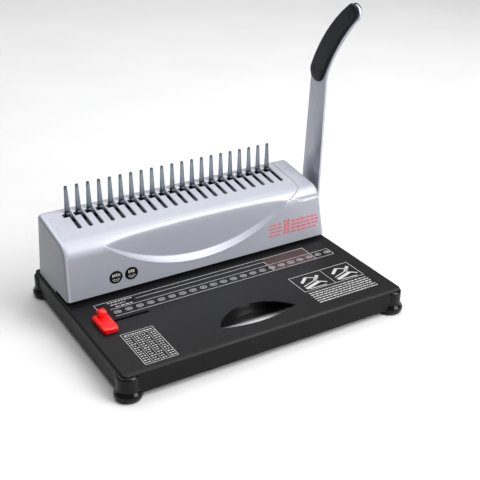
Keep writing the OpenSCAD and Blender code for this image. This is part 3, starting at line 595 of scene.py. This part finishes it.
def cover_shell():
    """The whole silver cover as one thin wall, open below."""
    sections = []
    for x, inset, place in cover_stations():
        sections.append([(place(z), y, z) for y, z in cover_rows(x, inset)])
    rows = len(sections[0])
    vertices = [p for section in sections for p in section]
    faces = []
    for k in range(len(sections) - 1):
        for i in range(rows - 1):
            a = k * rows + i
            faces.append((a, a + rows, a + rows + 1, a + 1))
    last = (len(sections) - 1) * rows
    faces.append(tuple(range(rows)))
    faces.append(tuple(last + i for i in range(rows))[::-1])
    mesh = bpy.data.meshes.new("cover_shell")
    mesh.from_pydata([Vector(v) * MM for v in vertices], [], faces)
    mesh.update()
    if max(mesh.polygons, key=lambda f: f.center.z).normal.z < 0:
        mesh.flip_normals()
    obj = add_object("cover_shell", mesh, silver_paint, "base", 26)
    thick = obj.modifiers.new("wall", "SOLIDIFY")
    thick.thickness = WALL * MM
    thick.offset = -1
    return baked(obj)


def top_z(y):
    """Height of the cover's sloping top at a depth."""
    edge_y = ROLL_Y - ROLL_R * math.sin(SLOPE)
    edge_z = ROLL_Z + ROLL_R * math.cos(SLOPE)
    return edge_z + (y - edge_y) * math.tan(SLOPE)


punch_low, punch_high = box_mm("punches")
tine_low, tine_high = box_mm("tine_plate")
TINE_Y = (tine_low.y + tine_high.y) / 2
HOLES = 21
PUNCH_W = 8.0
PITCH = (punch_high.x - punch_low.x - PUNCH_W) / (HOLES - 1)
row = [punch_low.x + PUNCH_W / 2 + i * PITCH for i in range(HOLES)]
HOOK_OFFSET = 1.1
SLOT_HALF = 2.3
SLOT_FRONT = TINE_Y - 37.4


def slot_outline(x):
    """L-shaped slot for one hook, with a short leg behind it at the tine."""
    lane = x + HOOK_OFFSET
    nose = circle(lane, SLOT_FRONT + SLOT_HALF, SLOT_HALF, 13, math.pi, 2 * math.pi)
    back = [(3.9, -1.5), (3.9, 1.2), (-3.9, 1.2), (-3.9, -1.0), (-8.0, -1.0), (-8.0, -9.5)]
    corner = [(x + u, TINE_Y + v) for u, v in back]
    return nose + [(lane + SLOT_HALF, TINE_Y - 1.5)] + corner + [(lane - SLOT_HALF, TINE_Y - 9.5)]


def slot_cutters():
    """All the slots, flared at the surface of the top."""
    parts = []
    for x in row:
        outline = slot_outline(x)
        loops = []
        for rise, grow in ((-7, 0), (-0.75, 0), (0.45, 1.2)):
            loops.append([(u, v, top_z(v) + rise) for u, v in inset_loop(outline, -grow)])
        parts.append(loft(loops))
    return mesh_from("slot_cutters", parts)


SEAM_X = 149.5
SEAM_Z = 96.0
TONGUE_BACK = FRONT + 23.6
SEAM_HALF = 0.4


def cap_region(grow):
    """Solid that holds the end cap: a tongue at the front and a block behind it."""
    far = 200.0
    tongue = [
        (126.5, 102.0), (138.0, 98.0), (150.0, SEAM_Z), (far, SEAM_Z), (far, 140.0),
        (SEAM_X, 140.0), (SEAM_X, 113.2), (146.5, 110.8), (141.0, 107.8), (133.0, 104.3),
    ]
    grown = inset_loop(tongue, -grow)
    block = rounded_rect(SEAM_X - grow, SEAM_Z - grow, far, 140.0, 0.1, 2)
    front = mesh_from("region", [loft([on_y(grown, FRONT - 6), on_y(grown, TONGUE_BACK + grow)])])
    back = mesh_from("region_back", [loft([on_y(block, TONGUE_BACK - 3), on_y(block, BACK + 6)])])
    holder = bpy.data.objects.new("region", front)
    bpy.context.scene.collection.objects.link(holder)
    boolean(holder, back, "UNION")
    mesh = holder.data.copy()
    bpy.data.objects.remove(holder)
    return mesh


# Painted shade darkens the left end of the silver paint, and a painted highlight lightens the rounded edge
# round it
shade_along(silver_paint, "X", (
    ((LEFT - 0.5) * MM, 0.7), ((LEFT + 1.6) * MM, 0.72), ((LEFT + 2.6) * MM, 1.45),
    ((LEFT + 4.2) * MM, 1.35), ((LEFT + 5.6) * MM, 1.0)))
shell = cover_shell()
cap = shell.copy()
cap.data = shell.data.copy()
cap.name = "end_cap_shell"
bpy.context.scene.collection.objects.link(cap)
boolean(shell, slot_cutters(), "DIFFERENCE")
boolean(shell, cap_region(SEAM_HALF), "DIFFERENCE")
boolean(cap, cap_region(-SEAM_HALF), "INTERSECT")
stop_low = box_mm("paper_stop_bar")[0]
throat = rounded_rect(FRONT - 5, FOOT - 5, stop_low.y + 0.5, THROAT_TOP, 0.2, 2)
throat_cutter = mesh_from("throat", [loft([on_x(throat, LEFT - 5), on_x(throat, RIGHT + 5)])])
boolean(shell, throat_cutter, "DIFFERENCE")
for piece in (shell, cap):
    resharpen(piece, 26)
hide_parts("top_cover")
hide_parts("end_cap_right")


# ---------- Tines ----------

TINE_FOOT = 7.0
TINE_TIP = 4.0
TINE_ROOT = 114.0


def tine_outline(x):
    """One tine: broad at its foot, narrow with a round tip."""
    tip_z = tine_high.z - TINE_TIP / 2
    tip = circle(x, tip_z, TINE_TIP / 2, 13, 0, math.pi)
    foot = TINE_FOOT / 2
    return [(x - foot, TINE_ROOT - 6), (x + foot, TINE_ROOT - 6), (x + foot, TINE_ROOT + 8)] + tip \
        + [(x - foot, TINE_ROOT + 8)]


# Painted shade makes the tines and their plate nearly black down inside the cover; the colour is also darker
# towards the tips
shade_along(tine_steel, "Z", ((0.100, 0.02), (0.116, 0.05), (0.127, 1.0), (0.149, 1.0), (0.155, 0.25)))
tine_parts = [slab(tine_outline(x), on_y, tine_low.y, tine_high.y, 0.35) for x in row]
plate = rounded_rect(tine_low.x, tine_low.z, tine_high.x, TINE_ROOT - 3, 0.5, 3)
tine_parts.append(slab(plate, on_y, tine_low.y, tine_high.y, 0.2))
tines = add_object("tine_comb", mesh_from("tine_comb", tine_parts), tine_steel, "base")
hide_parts("tine_plate")


# ---------- Posts ----------

POST_R = 13.0
POST_FLARE = 16.5
posts = ("front_left", "front_right", "back_left", "back_right")
for spot in posts:
    low, high = box_mm("corner_post_" + spot)
    centre = ((low.x + high.x) / 2, (low.y + high.y) / 2, 0)
    top = high.z
    profile = [(0, 2.9), (POST_FLARE - 2.4, 2.9), (POST_FLARE - 0.9, 3.2), (POST_FLARE - 0.2, 4.2),
               (POST_FLARE, 5.6), (POST_FLARE - 0.2, 7.4), (POST_FLARE - 1.0, 9.2),
               (POST_R + 0.8, 11.4), (POST_R + 0.2, 13.4), (POST_R, 16.0), (POST_R, top - 3.0),
               (POST_R - 0.25, top - 1.8), (POST_R - 0.9, top - 0.8), (POST_R - 1.9, top - 0.2),
               (POST_R - 3.0, top), (0, top)]
    mesh = mesh_from("post_" + spot, [lathe(profile, centre, 2, 56)])
    post = add_object("post_" + spot, mesh, gloss_black, "base", 50)
    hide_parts("corner_post_" + spot)


# ---------- Finger recess ----------

dish_high = box_mm("finger_recess")[1]
base_low, base_high = box_mm("base_tray")
TABLE = base_high.z
DISH_DEPTH = 11.0
# Share of the recess, from its back edge, that its steep back wall takes
DISH_BACK = 0.13
outline = resample(face_loops("finger_recess", 2, dish_high.z)[0], 2.5)
dish_x0 = min(p[0] for p in outline)
dish_x1 = max(p[0] for p in outline)
dish_y0 = min(p[1] for p in outline)
dish_y1 = max(p[1] for p in outline)


def lens_span(x):
    """Front and back edge of the recess at a place along it."""
    return span_at(outline, 0, x)


def dish_z(x, y):
    """Height of the recess: steep at the back, a long ramp up to the front."""
    span = lens_span(x)
    if span is None or span[1] - span[0] < 0.5:
        return TABLE - 0.1
    v = min(1.0, max(0.0, (span[1] - y) / (span[1] - span[0])))
    taper = min(1.0, (span[1] - span[0]) / (0.8 * (dish_y1 - dish_y0)))
    wall = smoothstep(v / DISH_BACK)
    ramp = 1 - smoothstep((v - DISH_BACK) / (1 - DISH_BACK))
    return TABLE - 0.1 - DISH_DEPTH * taper ** 0.7 * wall * ramp


loops = [on_z(outline, TABLE - 0.3), on_z(outline, TABLE + 0.1), on_z(inset_loop(outline, 0.2), TABLE + 0.2),
         on_z(inset_loop(outline, 0.5), TABLE + 0.15), on_z(inset_loop(outline, 0.7), TABLE - 0.1)]
inner = inset_loop(outline, 0.7)
spine = []
for u, v in inner:
    x = min(dish_x1 - 6, max(dish_x0 + 6, u))
    span = lens_span(x)
    spine.append((x, span[0] + (span[1] - span[0]) * 0.55))
for share in (0.05, 0.1, 0.16, 0.23, 0.31, 0.4, 0.5, 0.6, 0.7, 0.8, 0.9, 1.0):
    ring = []
    for (u, v), (su, sv) in zip(inner, spine):
        x = u + (su - u) * share
        y = v + (sv - v) * share
        ring.append((x, y, dish_z(x, y)))
    loops.append(ring)
dish_mesh = mesh_from("finger_dish", [loft(loops, closed_ends=False)])
bm = bmesh.new()
bm.from_mesh(dish_mesh)
bmesh.ops.remove_doubles(bm, verts=bm.verts, dist=0.05 * MM)
bm.to_mesh(dish_mesh)
bm.free()
if max(dish_mesh.polygons, key=lambda f: f.center.z * 1000 + f.area * 1e5).normal.z < 0:
    dish_mesh.flip_normals()
dish_reach = dish_y1 - dish_y0
# Painted highlight and shade: the recess is light along its front edge over its left part, and black towards
# its back wall and its right end
shade_along(dish_black_painted_light, "Y", ((dish_y0 * MM, 1.0), ((dish_y0 + 0.12 * dish_reach) * MM, 0.45),
                              ((dish_y0 + 0.3 * dish_reach) * MM, 0.08),
                              ((dish_y0 + 0.5 * dish_reach) * MM, 0.01), (dish_y1 * MM, 0.01)))
dish_length = dish_x1 - dish_x0
shade_along(dish_black_painted_light, "X", ((dish_x0 * MM, 0.2), ((dish_x0 + 0.12 * dish_length) * MM, 1.0),
                              ((dish_x0 + 0.5 * dish_length) * MM, 1.0),
                              ((dish_x0 + 0.75 * dish_length) * MM, 0.08), (dish_x1 * MM, 0.01)))
dish = add_object("finger_dish", dish_mesh, dish_black_painted_light, "base", 40)
skin = dish.modifiers.new("skin", "SOLIDIFY")
skin.thickness = 0.9 * MM
skin.offset = -1
baked(dish)
resharpen(dish, 40)
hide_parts("finger_recess")


# ---------- Lever ----------

inner_high = box_mm("grip_inner")[1]
outer_low = box_mm("grip_outer")[0]
arm_low, arm_high = box_mm("lever_arm")

arm_loop = resample(face_loops("lever_arm", 0, arm_low.x)[0], 2.5)
# How far the front of each grip half stays behind the front edge of the strap
INNER_MARGIN = 0.9
OUTER_MARGIN = -0.2

# Roundness of a grip half: (height above the strap, inset of the outline)
GRIP_ROUND = ((0.0, 0.5), (1.3, 0.0), (2.1, 0.35), (2.8, 0.95), (3.35, 1.9), (3.7, 3.1),
              (3.9, 4.6), (4.0, 6.2))


def behind_strap_edge(loop, margin):
    """Flat outline with its front pulled back behind the front edge of the strap."""
    kept = []
    for u, v in loop:
        span = span_at(arm_loop, 1, v)
        kept.append((u, v) if span is None else (max(u, span[0] + margin), v))
    return kept


def grip_half(name, node, seat, direction, margin):
    """One rounded grip half on the strap, with wells for its two screws."""
    outline = resample(behind_strap_edge(face_loops(node, 0, seat)[0], margin), 2.0)
    loops = [on_x(inset_loop(outline, 0.9), seat)]
    for height, inset in GRIP_ROUND:
        loops.append(on_x(inset_loop(outline, inset + 0.3), seat + direction * height))
    grip = add_object(name, mesh_from(name, [loft(loops)]), grip_black, "lever", 40)
    face = seat + direction * GRIP_ROUND[-1][0]
    wells = []
    for hole in face_loops(node, 0, face)[1:3]:
        cu = sum(p[0] for p in hole) / len(hole)
        cv = sum(p[1] for p in hole) / len(hole)
        ends = sorted((face - direction * 2.0, face + direction * 1.0))
        wells.append(lathe([(4.0, ends[0]), (4.0, ends[1])], (0, cu, cv), 0, 32))
    if wells:
        boolean(grip, mesh_from("wells", wells), "DIFFERENCE")
    resharpen(grip, 40)
    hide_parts(node)
    return grip


grip_half("grip_half_inner", "grip_inner", inner_high.x, -1, INNER_MARGIN)
grip_half("grip_half_outer", "grip_outer", outer_low.x, 1, OUTER_MARGIN)

STRAP_BEVEL = 0.45
strap_mesh = mesh_from("lever_strap", [slab(arm_loop, on_x, arm_low.x, arm_high.x, STRAP_BEVEL)])
strap = add_object("lever_strap", strap_mesh, strap_satin, "lever", 30)
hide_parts("lever_arm")


# ---------- Paper edge guide ----------

guide_low, guide_high = box_mm("edge_guide")
GUIDE_H = 6.5
GUIDE_Z = TABLE + 0.1
foot_loop = rounded_rect(guide_low.x, guide_low.y, guide_high.x, guide_high.y, 3.6, 7)
foot_levels = ((0.8, 0.0), (0.2, 0.3), (0.0, 1.0), (0.0, GUIDE_H - 2.0), (0.25, GUIDE_H - 1.1),
               (0.9, GUIDE_H - 0.4), (1.8, GUIDE_H - 0.08), (3.0, GUIDE_H))
foot_parts = [loft([on_z(inset_loop(foot_loop, i), GUIDE_Z + h) for i, h in foot_levels])]
guide = add_object("edge_guide_body", mesh_from("edge_guide_body", foot_parts), red_plastic, "paper_guide",
                   40)
TAB_W = 10.6
TAB_X = guide_low.x + 6
TAB_TOP = guide_high.z
TAB_LEAN = 0.16
tab_loop = rounded_rect(TAB_X, GUIDE_Z + 0.6, TAB_X + TAB_W, TAB_TOP, 3.2, 7)
tab_back = guide_high.y - 1.2
tab_loops = []
for inset, y in ((2.0, tab_back), (0.7, tab_back - 0.3), (0.0, tab_back - 1.4), (0.0, tab_back - 9.0),
                 (0.7, tab_back - 10.2), (2.2, tab_back - 10.6)):
    lean = TAB_LEAN if y < tab_back - 5 else 0
    ring = inset_loop(tab_loop, inset)
    tab_loops.append([(u, y + (v - GUIDE_Z) * lean, v) for u, v in ring])
boolean(guide, mesh_from("tab", [loft(tab_loops)]), "UNION")
slot_y = (box_mm("guide_clamp_plate")[0].y + box_mm("guide_clamp_plate")[1].y) / 2
key_loop = rounded_rect(guide_low.x + 5, slot_y - 1.85, guide_low.x + 14, slot_y + 1.85, 0.5, 3)
boolean(guide, mesh_from("key", [loft([on_z(key_loop, guide_low.z), on_z(key_loop, GUIDE_Z + 2)])]), "UNION")
resharpen(guide, 40)
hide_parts("edge_guide")


# ---------- Badges ----------

# Printed arcs under the bars of a badge
ARC_REACHES = (3.6, 5.6)
ARC_STROKE = 0.7
ARC_START = math.radians(205)
ARC_END = math.radians(335)


def badge(name, node, marks):
    """Round badge with plain bars and two arcs printed on it."""
    low, high = box_mm(node)
    cx = (low.x + high.x) / 2
    cz = (low.z + high.z) / 2
    r = (high.x - low.x) / 2
    face = low.y
    profile = [(r, high.y), (r, face + 0.35), (r - 0.25, face + 0.12), (r - 0.8, face + 0.02), (0, face)]
    disc = add_object(name, mesh_from(name, [lathe(profile, (cx, 0, cz), 1, 48)]), gloss_black, "base",
                      30)
    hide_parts(node)
    parts = [loft([on_y(rounded_rect(cx + u0, cz + v0, cx + u1, cz + v1, 0.25, 3), y)
                   for y in (face + 0.1, face - 0.05)]) for u0, v0, u1, v1 in marks]
    for reach in ARC_REACHES:
        band = circle(cx, cz, reach, 15, ARC_START, ARC_END)
        band += circle(cx, cz, reach - ARC_STROKE, 15, ARC_END, ARC_START)
        parts.append(loft([on_y(band, y) for y in (face + 0.1, face - 0.05)]))
    add_object(name + "_marks", mesh_from(name + "_marks", parts), white_ink, "base", 30)


badge("badge_disc_left", "badge_left", (
    (-5, 0.6, -3.2, 4.4), (-2.4, 1.0, -0.9, 4.8), (-0.2, 1.0, 1.4, 4.8), (2.2, 0.8, 3.2, 4.4),
    (3.9, 0.6, 5.2, 4)))
badge("badge_disc_right", "badge_right", (
    (-4.4, 1.0, -2.4, 4.8), (-1.5, 1.4, 0.3, 5.4), (1.1, 1.0, 3.6, 5)))


# ---------- Printing ----------

INK = 0.05
# The printing is laid out from a line this far behind the table's front edge
PRINT_LINE = base_low.y + 123.0


def on_table(loop, z):
    """A flat loop laid on the table, measured from the print line."""
    return [(u, v + PRINT_LINE, z) for u, v in loop]


def flat_mark(u0, v0, u1, v1):
    """Thin printed bar on the working surface."""
    loop = rounded_rect(u0, v0, u1, v1, min(u1 - u0, v1 - v0) * 0.2, 2)
    return loft([on_table(loop, TABLE - 0.1), on_table(loop, TABLE + INK)])


def flat_ring(u0, v0, u1, v1, r, stroke):
    """Printed outline on the working surface."""
    outer = rounded_rect(u0, v0, u1, v1, r, 6)
    inner = inset_loop(outer, stroke)
    return ring_loft([on_table(outer, TABLE - 0.1), on_table(outer, TABLE + INK),
                      on_table(inner, TABLE + INK), on_table(inner, TABLE - 0.1)])


def dash_row(rng, u0, u1, v0, v1, low=1.2, high=5.0, gap=0.9):
    """Row of dashes of uneven length that stands for a line of small print."""
    marks = []
    u = u0
    while u < u1 - low:
        length = min(rng.uniform(low, high), u1 - u)
        marks.append(flat_mark(u, v0, u + length, v1))
        u += length + gap
    return marks


rng = random.Random(SEED)
# Lines of the scale: left, front, right and back of each in millimetres
white = [
    flat_mark(-158, 25.6, 140, 26.4), flat_mark(-107, 17.6, 75, 18.4),
    flat_mark(-144, 7.8, 167.5, 8.5), flat_mark(-144, -8.5, 167.5, -7.8),
    flat_mark(166.8, -8, 167.5, 8), flat_mark(139.2, -8, 140, 26), flat_mark(74.2, -8, 75, 18),
    flat_mark(-158, 12, -157.3, 26),
]
mark_x = -144.0
while mark_x < 160:
    white.append(flat_ring(mark_x + 1.4, -3.0, mark_x + 10.2, 3.4, 3.0, 0.7))
    white.append(flat_mark(mark_x + 3.4, -0.4, mark_x + 8.2, 0.8))
    mark_x += PITCH
white += dash_row(rng, -142, -110, 21.6, 23.6)
white += dash_row(rng, -140, -121, 16.0, 18.0)
white += dash_row(rng, -136, -114, 10.4, 12.4)
# Table on the left: a frame with columns of small marks
LABEL = (-157.0, -114.5, -117.0, -47.5)
white.append(flat_ring(*LABEL, 0.6, 0.6))
for k in range(1, 4):
    line = LABEL[0] + 10 * k
    white.append(flat_mark(line - 0.2, LABEL[1] + 1, line + 0.2, LABEL[3] - 8))
white.append(flat_mark(LABEL[0] + 1, LABEL[3] - 8.2, LABEL[2] - 1, LABEL[3] - 7.7))
white += dash_row(rng, LABEL[0] + 3, LABEL[2] - 3, LABEL[3] - 5.6, LABEL[3] - 3.6)
line = LABEL[1] + 3
while line < LABEL[3] - 11:
    for k in range(4):
        start = LABEL[0] + 10 * k + 2
        white += dash_row(rng, start, start + 6.4, line, line + 1.5, 1.4, 3.2, 1.1)
    line += 4.3
# Picture boxes on the right with rows of small print under them
PICTURE = (77.0, -73.0, 167.0, -35.5)
white.append(flat_ring(*PICTURE, 0.6, 0.7))
white.append(flat_mark(123.6, PICTURE[1] + 1, 124.2, PICTURE[3] - 1))
for k in range(6):
    white += dash_row(rng, 79, 166, -79.4 - 4.6 * k, -77.6 - 4.6 * k, 1.4, 6.0)


def slanted_mark(u0, v0, u1, v1, width):
    """Printed stroke between two points of the working surface."""
    a = Vector((u0, v0))
    b = Vector((u1, v1))
    side = Vector((-(b - a).y, (b - a).x)).normalized() * width / 2
    loop = [tuple(a - side), tuple(b - side), tuple(b + side), tuple(a + side)]
    return loft([on_table(loop, TABLE - 0.1), on_table(loop, TABLE + INK)])


for left_x in (82.0, 129.0):
    for u0, v0, u1, v1, width in (
            (2, 6, 26, 14, 4.6), (2, 12, 26, 20, 1.4), (26, 14, 34, 8, 2.0), (4, 20, 16, 30, 4.0),
            (16, 30, 30, 22, 1.6), (22, 18, 32, 28, 4.2), (6, 4, 30, 3, 1.4)):
        white.append(slanted_mark(left_x + u0, PICTURE[1] + v0, left_x + u1, PICTURE[1] + v1, width))
add_object("table_print", mesh_from("table_print", white), white_ink, "base", 30)
ZONE = rounded_rect(75.2, -7.6, 139.0, 25.4, 0.3, 2)
zone = mesh_from("table_zone", [loft([on_table(ZONE, TABLE - 0.1), on_table(ZONE, TABLE + 0.02)])])
add_object("table_zone", zone, maroon_ink, "base", 30)


def front_mark(u0, v0, u1, v1):
    """Thin printed bar on the lower front of the cover."""
    loop = rounded_rect(u0, v0, u1, v1, min(u1 - u0, v1 - v0) * 0.2, 2)
    return loft([on_y(loop, FRONT + 0.1), on_y(loop, FRONT - INK)])


red = []
for k in range(5):
    red.append(front_mark(118, 54.4 + 4.2 * k, 122, 57.6 + 4.2 * k))
    red.append(front_mark(122.8, 54.8 + 4.2 * k, 127, 57.8 + 4.2 * k))
for k, (u0, u1) in enumerate(((96, 114), (95, 115), (97, 115), (95, 113))):
    red.append(front_mark(u0, 70.2 - 5.2 * k, u1 - 8 - k, 72 - 5.2 * k))
    red.append(front_mark(u1 - 7 - k, 70.2 - 5.2 * k, u1, 72 - 5.2 * k))
for k in range(4):
    u = 130.0
    while u < 170:
        length = min(rng.uniform(3, 8), 173 - u)
        red.append(front_mark(u, 69.6 - 5.2 * k, u + length, 72.2 - 5.2 * k))
        u += length + 1.2
add_object("cover_print", mesh_from("cover_print", red), red_ink, "base", 30)


def raised_mark(u, v, length, width, turn):
    """Small raised bar on the sloping top of the cover."""
    along = Vector((math.cos(turn), math.sin(turn))) * length / 2
    across = Vector((-math.sin(turn), math.cos(turn))) * width / 2
    centre = Vector((u, v))
    loop = [tuple(centre + along + across), tuple(centre - along + across),
            tuple(centre - along - across), tuple(centre + along - across)]
    low = [(p, q, top_z(q) - 0.3) for p, q in loop]
    middle = [(p, q, top_z(q) + 0.15) for p, q in loop]
    high = [(p, q, top_z(q) + 0.35) for p, q in inset_loop(loop, 0.2)]
    return loft([low, middle, high])


raised = []
for k in range(6):
    raised.append(raised_mark(-172, TINE_Y - 39 + 6.2 * k, 10 - (k % 3) * 1.5, 1.5, 0.0))
for k in range(4):
    raised.append(raised_mark(160, TINE_Y - 33 + 7 * k, 9 - (k % 2) * 2, 1.5, 0.0))
add_object("cover_marks", mesh_from("cover_marks", raised), silver_paint, "base", 30)


# ---------- Carried-over CAD nodes ----------

for node, material in node_finish.items():
    dress_node(node, material)


# ---------- Studio ----------

def studio_material(name, dark, light, rough):
    """Quiet finish for the studio floor."""
    return surface(name, dark, light, (rough, rough + 0.05), grain=6.0, bump=0.0, patch=2.0, specular=0.2)


floor_mesh = bpy.data.meshes.new("floor")
FLOOR = 6.0
floor_mesh.from_pydata([(-FLOOR, -FLOOR, 0), (FLOOR, -FLOOR, 0), (FLOOR, FLOOR, 0), (-FLOOR, FLOOR, 0)], [],
                       [(0, 1, 2, 3)])
floor = bpy.data.objects.new("floor", floor_mesh)
bpy.context.scene.collection.objects.link(floor)
floor_mesh.materials.append(studio_material("studio_floor", (0.50, 0.50, 0.505), (0.52, 0.52, 0.525), 0.6))

world = bpy.data.worlds.new("studio")
bpy.context.scene.world = world
world.use_nodes = True
world.node_tree.nodes["Background"].inputs["Color"].default_value = (1.0, 1.0, 1.0, 1)
world.node_tree.nodes["Background"].inputs["Strength"].default_value = 0.25


def area_light(name, place, target, size, power):
    """Soft rectangular light aimed at a point."""
    data = bpy.data.lights.new(name, "AREA")
    data.shape = "RECTANGLE"
    data.size = size[0]
    data.size_y = size[1]
    data.energy = power
    light = bpy.data.objects.new(name, data)
    bpy.context.scene.collection.objects.link(light)
    light.location = place
    aim = Vector(target) - Vector(place)
    light.rotation_euler = aim.to_track_quat("-Z", "Y").to_euler()
    return light


area_light("overhead", (0.1, 1.0, 2.4), (0, 0.8, 0), (3.0, 3.0), 95)
area_light("key", (0.95, -0.95, 1.6), (0, 0.03, 0.08), (1.5, 1.5), 48)
area_light("front_right", (0.9, -1.5, 0.65), (0, 0.0, 0.08), (1.0, 0.7), 18)
area_light("front_high", (0.9, -1.35, 1.15), (0, 0.0, 0.1), (1.0, 0.8), 11)

CAMERA_PLACE = Vector((-0.48995, -0.87276, 0.59691))
CAMERA_YAW = 0.5419
CAMERA_PITCH = 0.4708
CAMERA_ROLL = 0.0078
CAMERA_LENS = 68.83
CAMERA_SENSOR = 36.0
forward = Vector((
    math.sin(CAMERA_YAW) * math.cos(CAMERA_PITCH),
    math.cos(CAMERA_YAW) * math.cos(CAMERA_PITCH),
    -math.sin(CAMERA_PITCH)))
level_right = Vector((math.cos(CAMERA_YAW), -math.sin(CAMERA_YAW), 0))
level_up = level_right.cross(forward)
right = level_right * math.cos(CAMERA_ROLL) + level_up * math.sin(CAMERA_ROLL)
up = level_up * math.cos(CAMERA_ROLL) - level_right * math.sin(CAMERA_ROLL)
turn = Matrix((right, up, -forward)).transposed()
camera_data = bpy.data.cameras.new("camera")
camera_data.lens = CAMERA_LENS
camera_data.sensor_width = CAMERA_SENSOR
camera = bpy.data.objects.new("camera", camera_data)
bpy.context.scene.collection.objects.link(camera)
camera.matrix_world = Matrix.Translation(CAMERA_PLACE) @ turn.to_4x4()
bpy.context.scene.camera = camera
bpy.context.scene.view_settings.view_transform = "Standard"
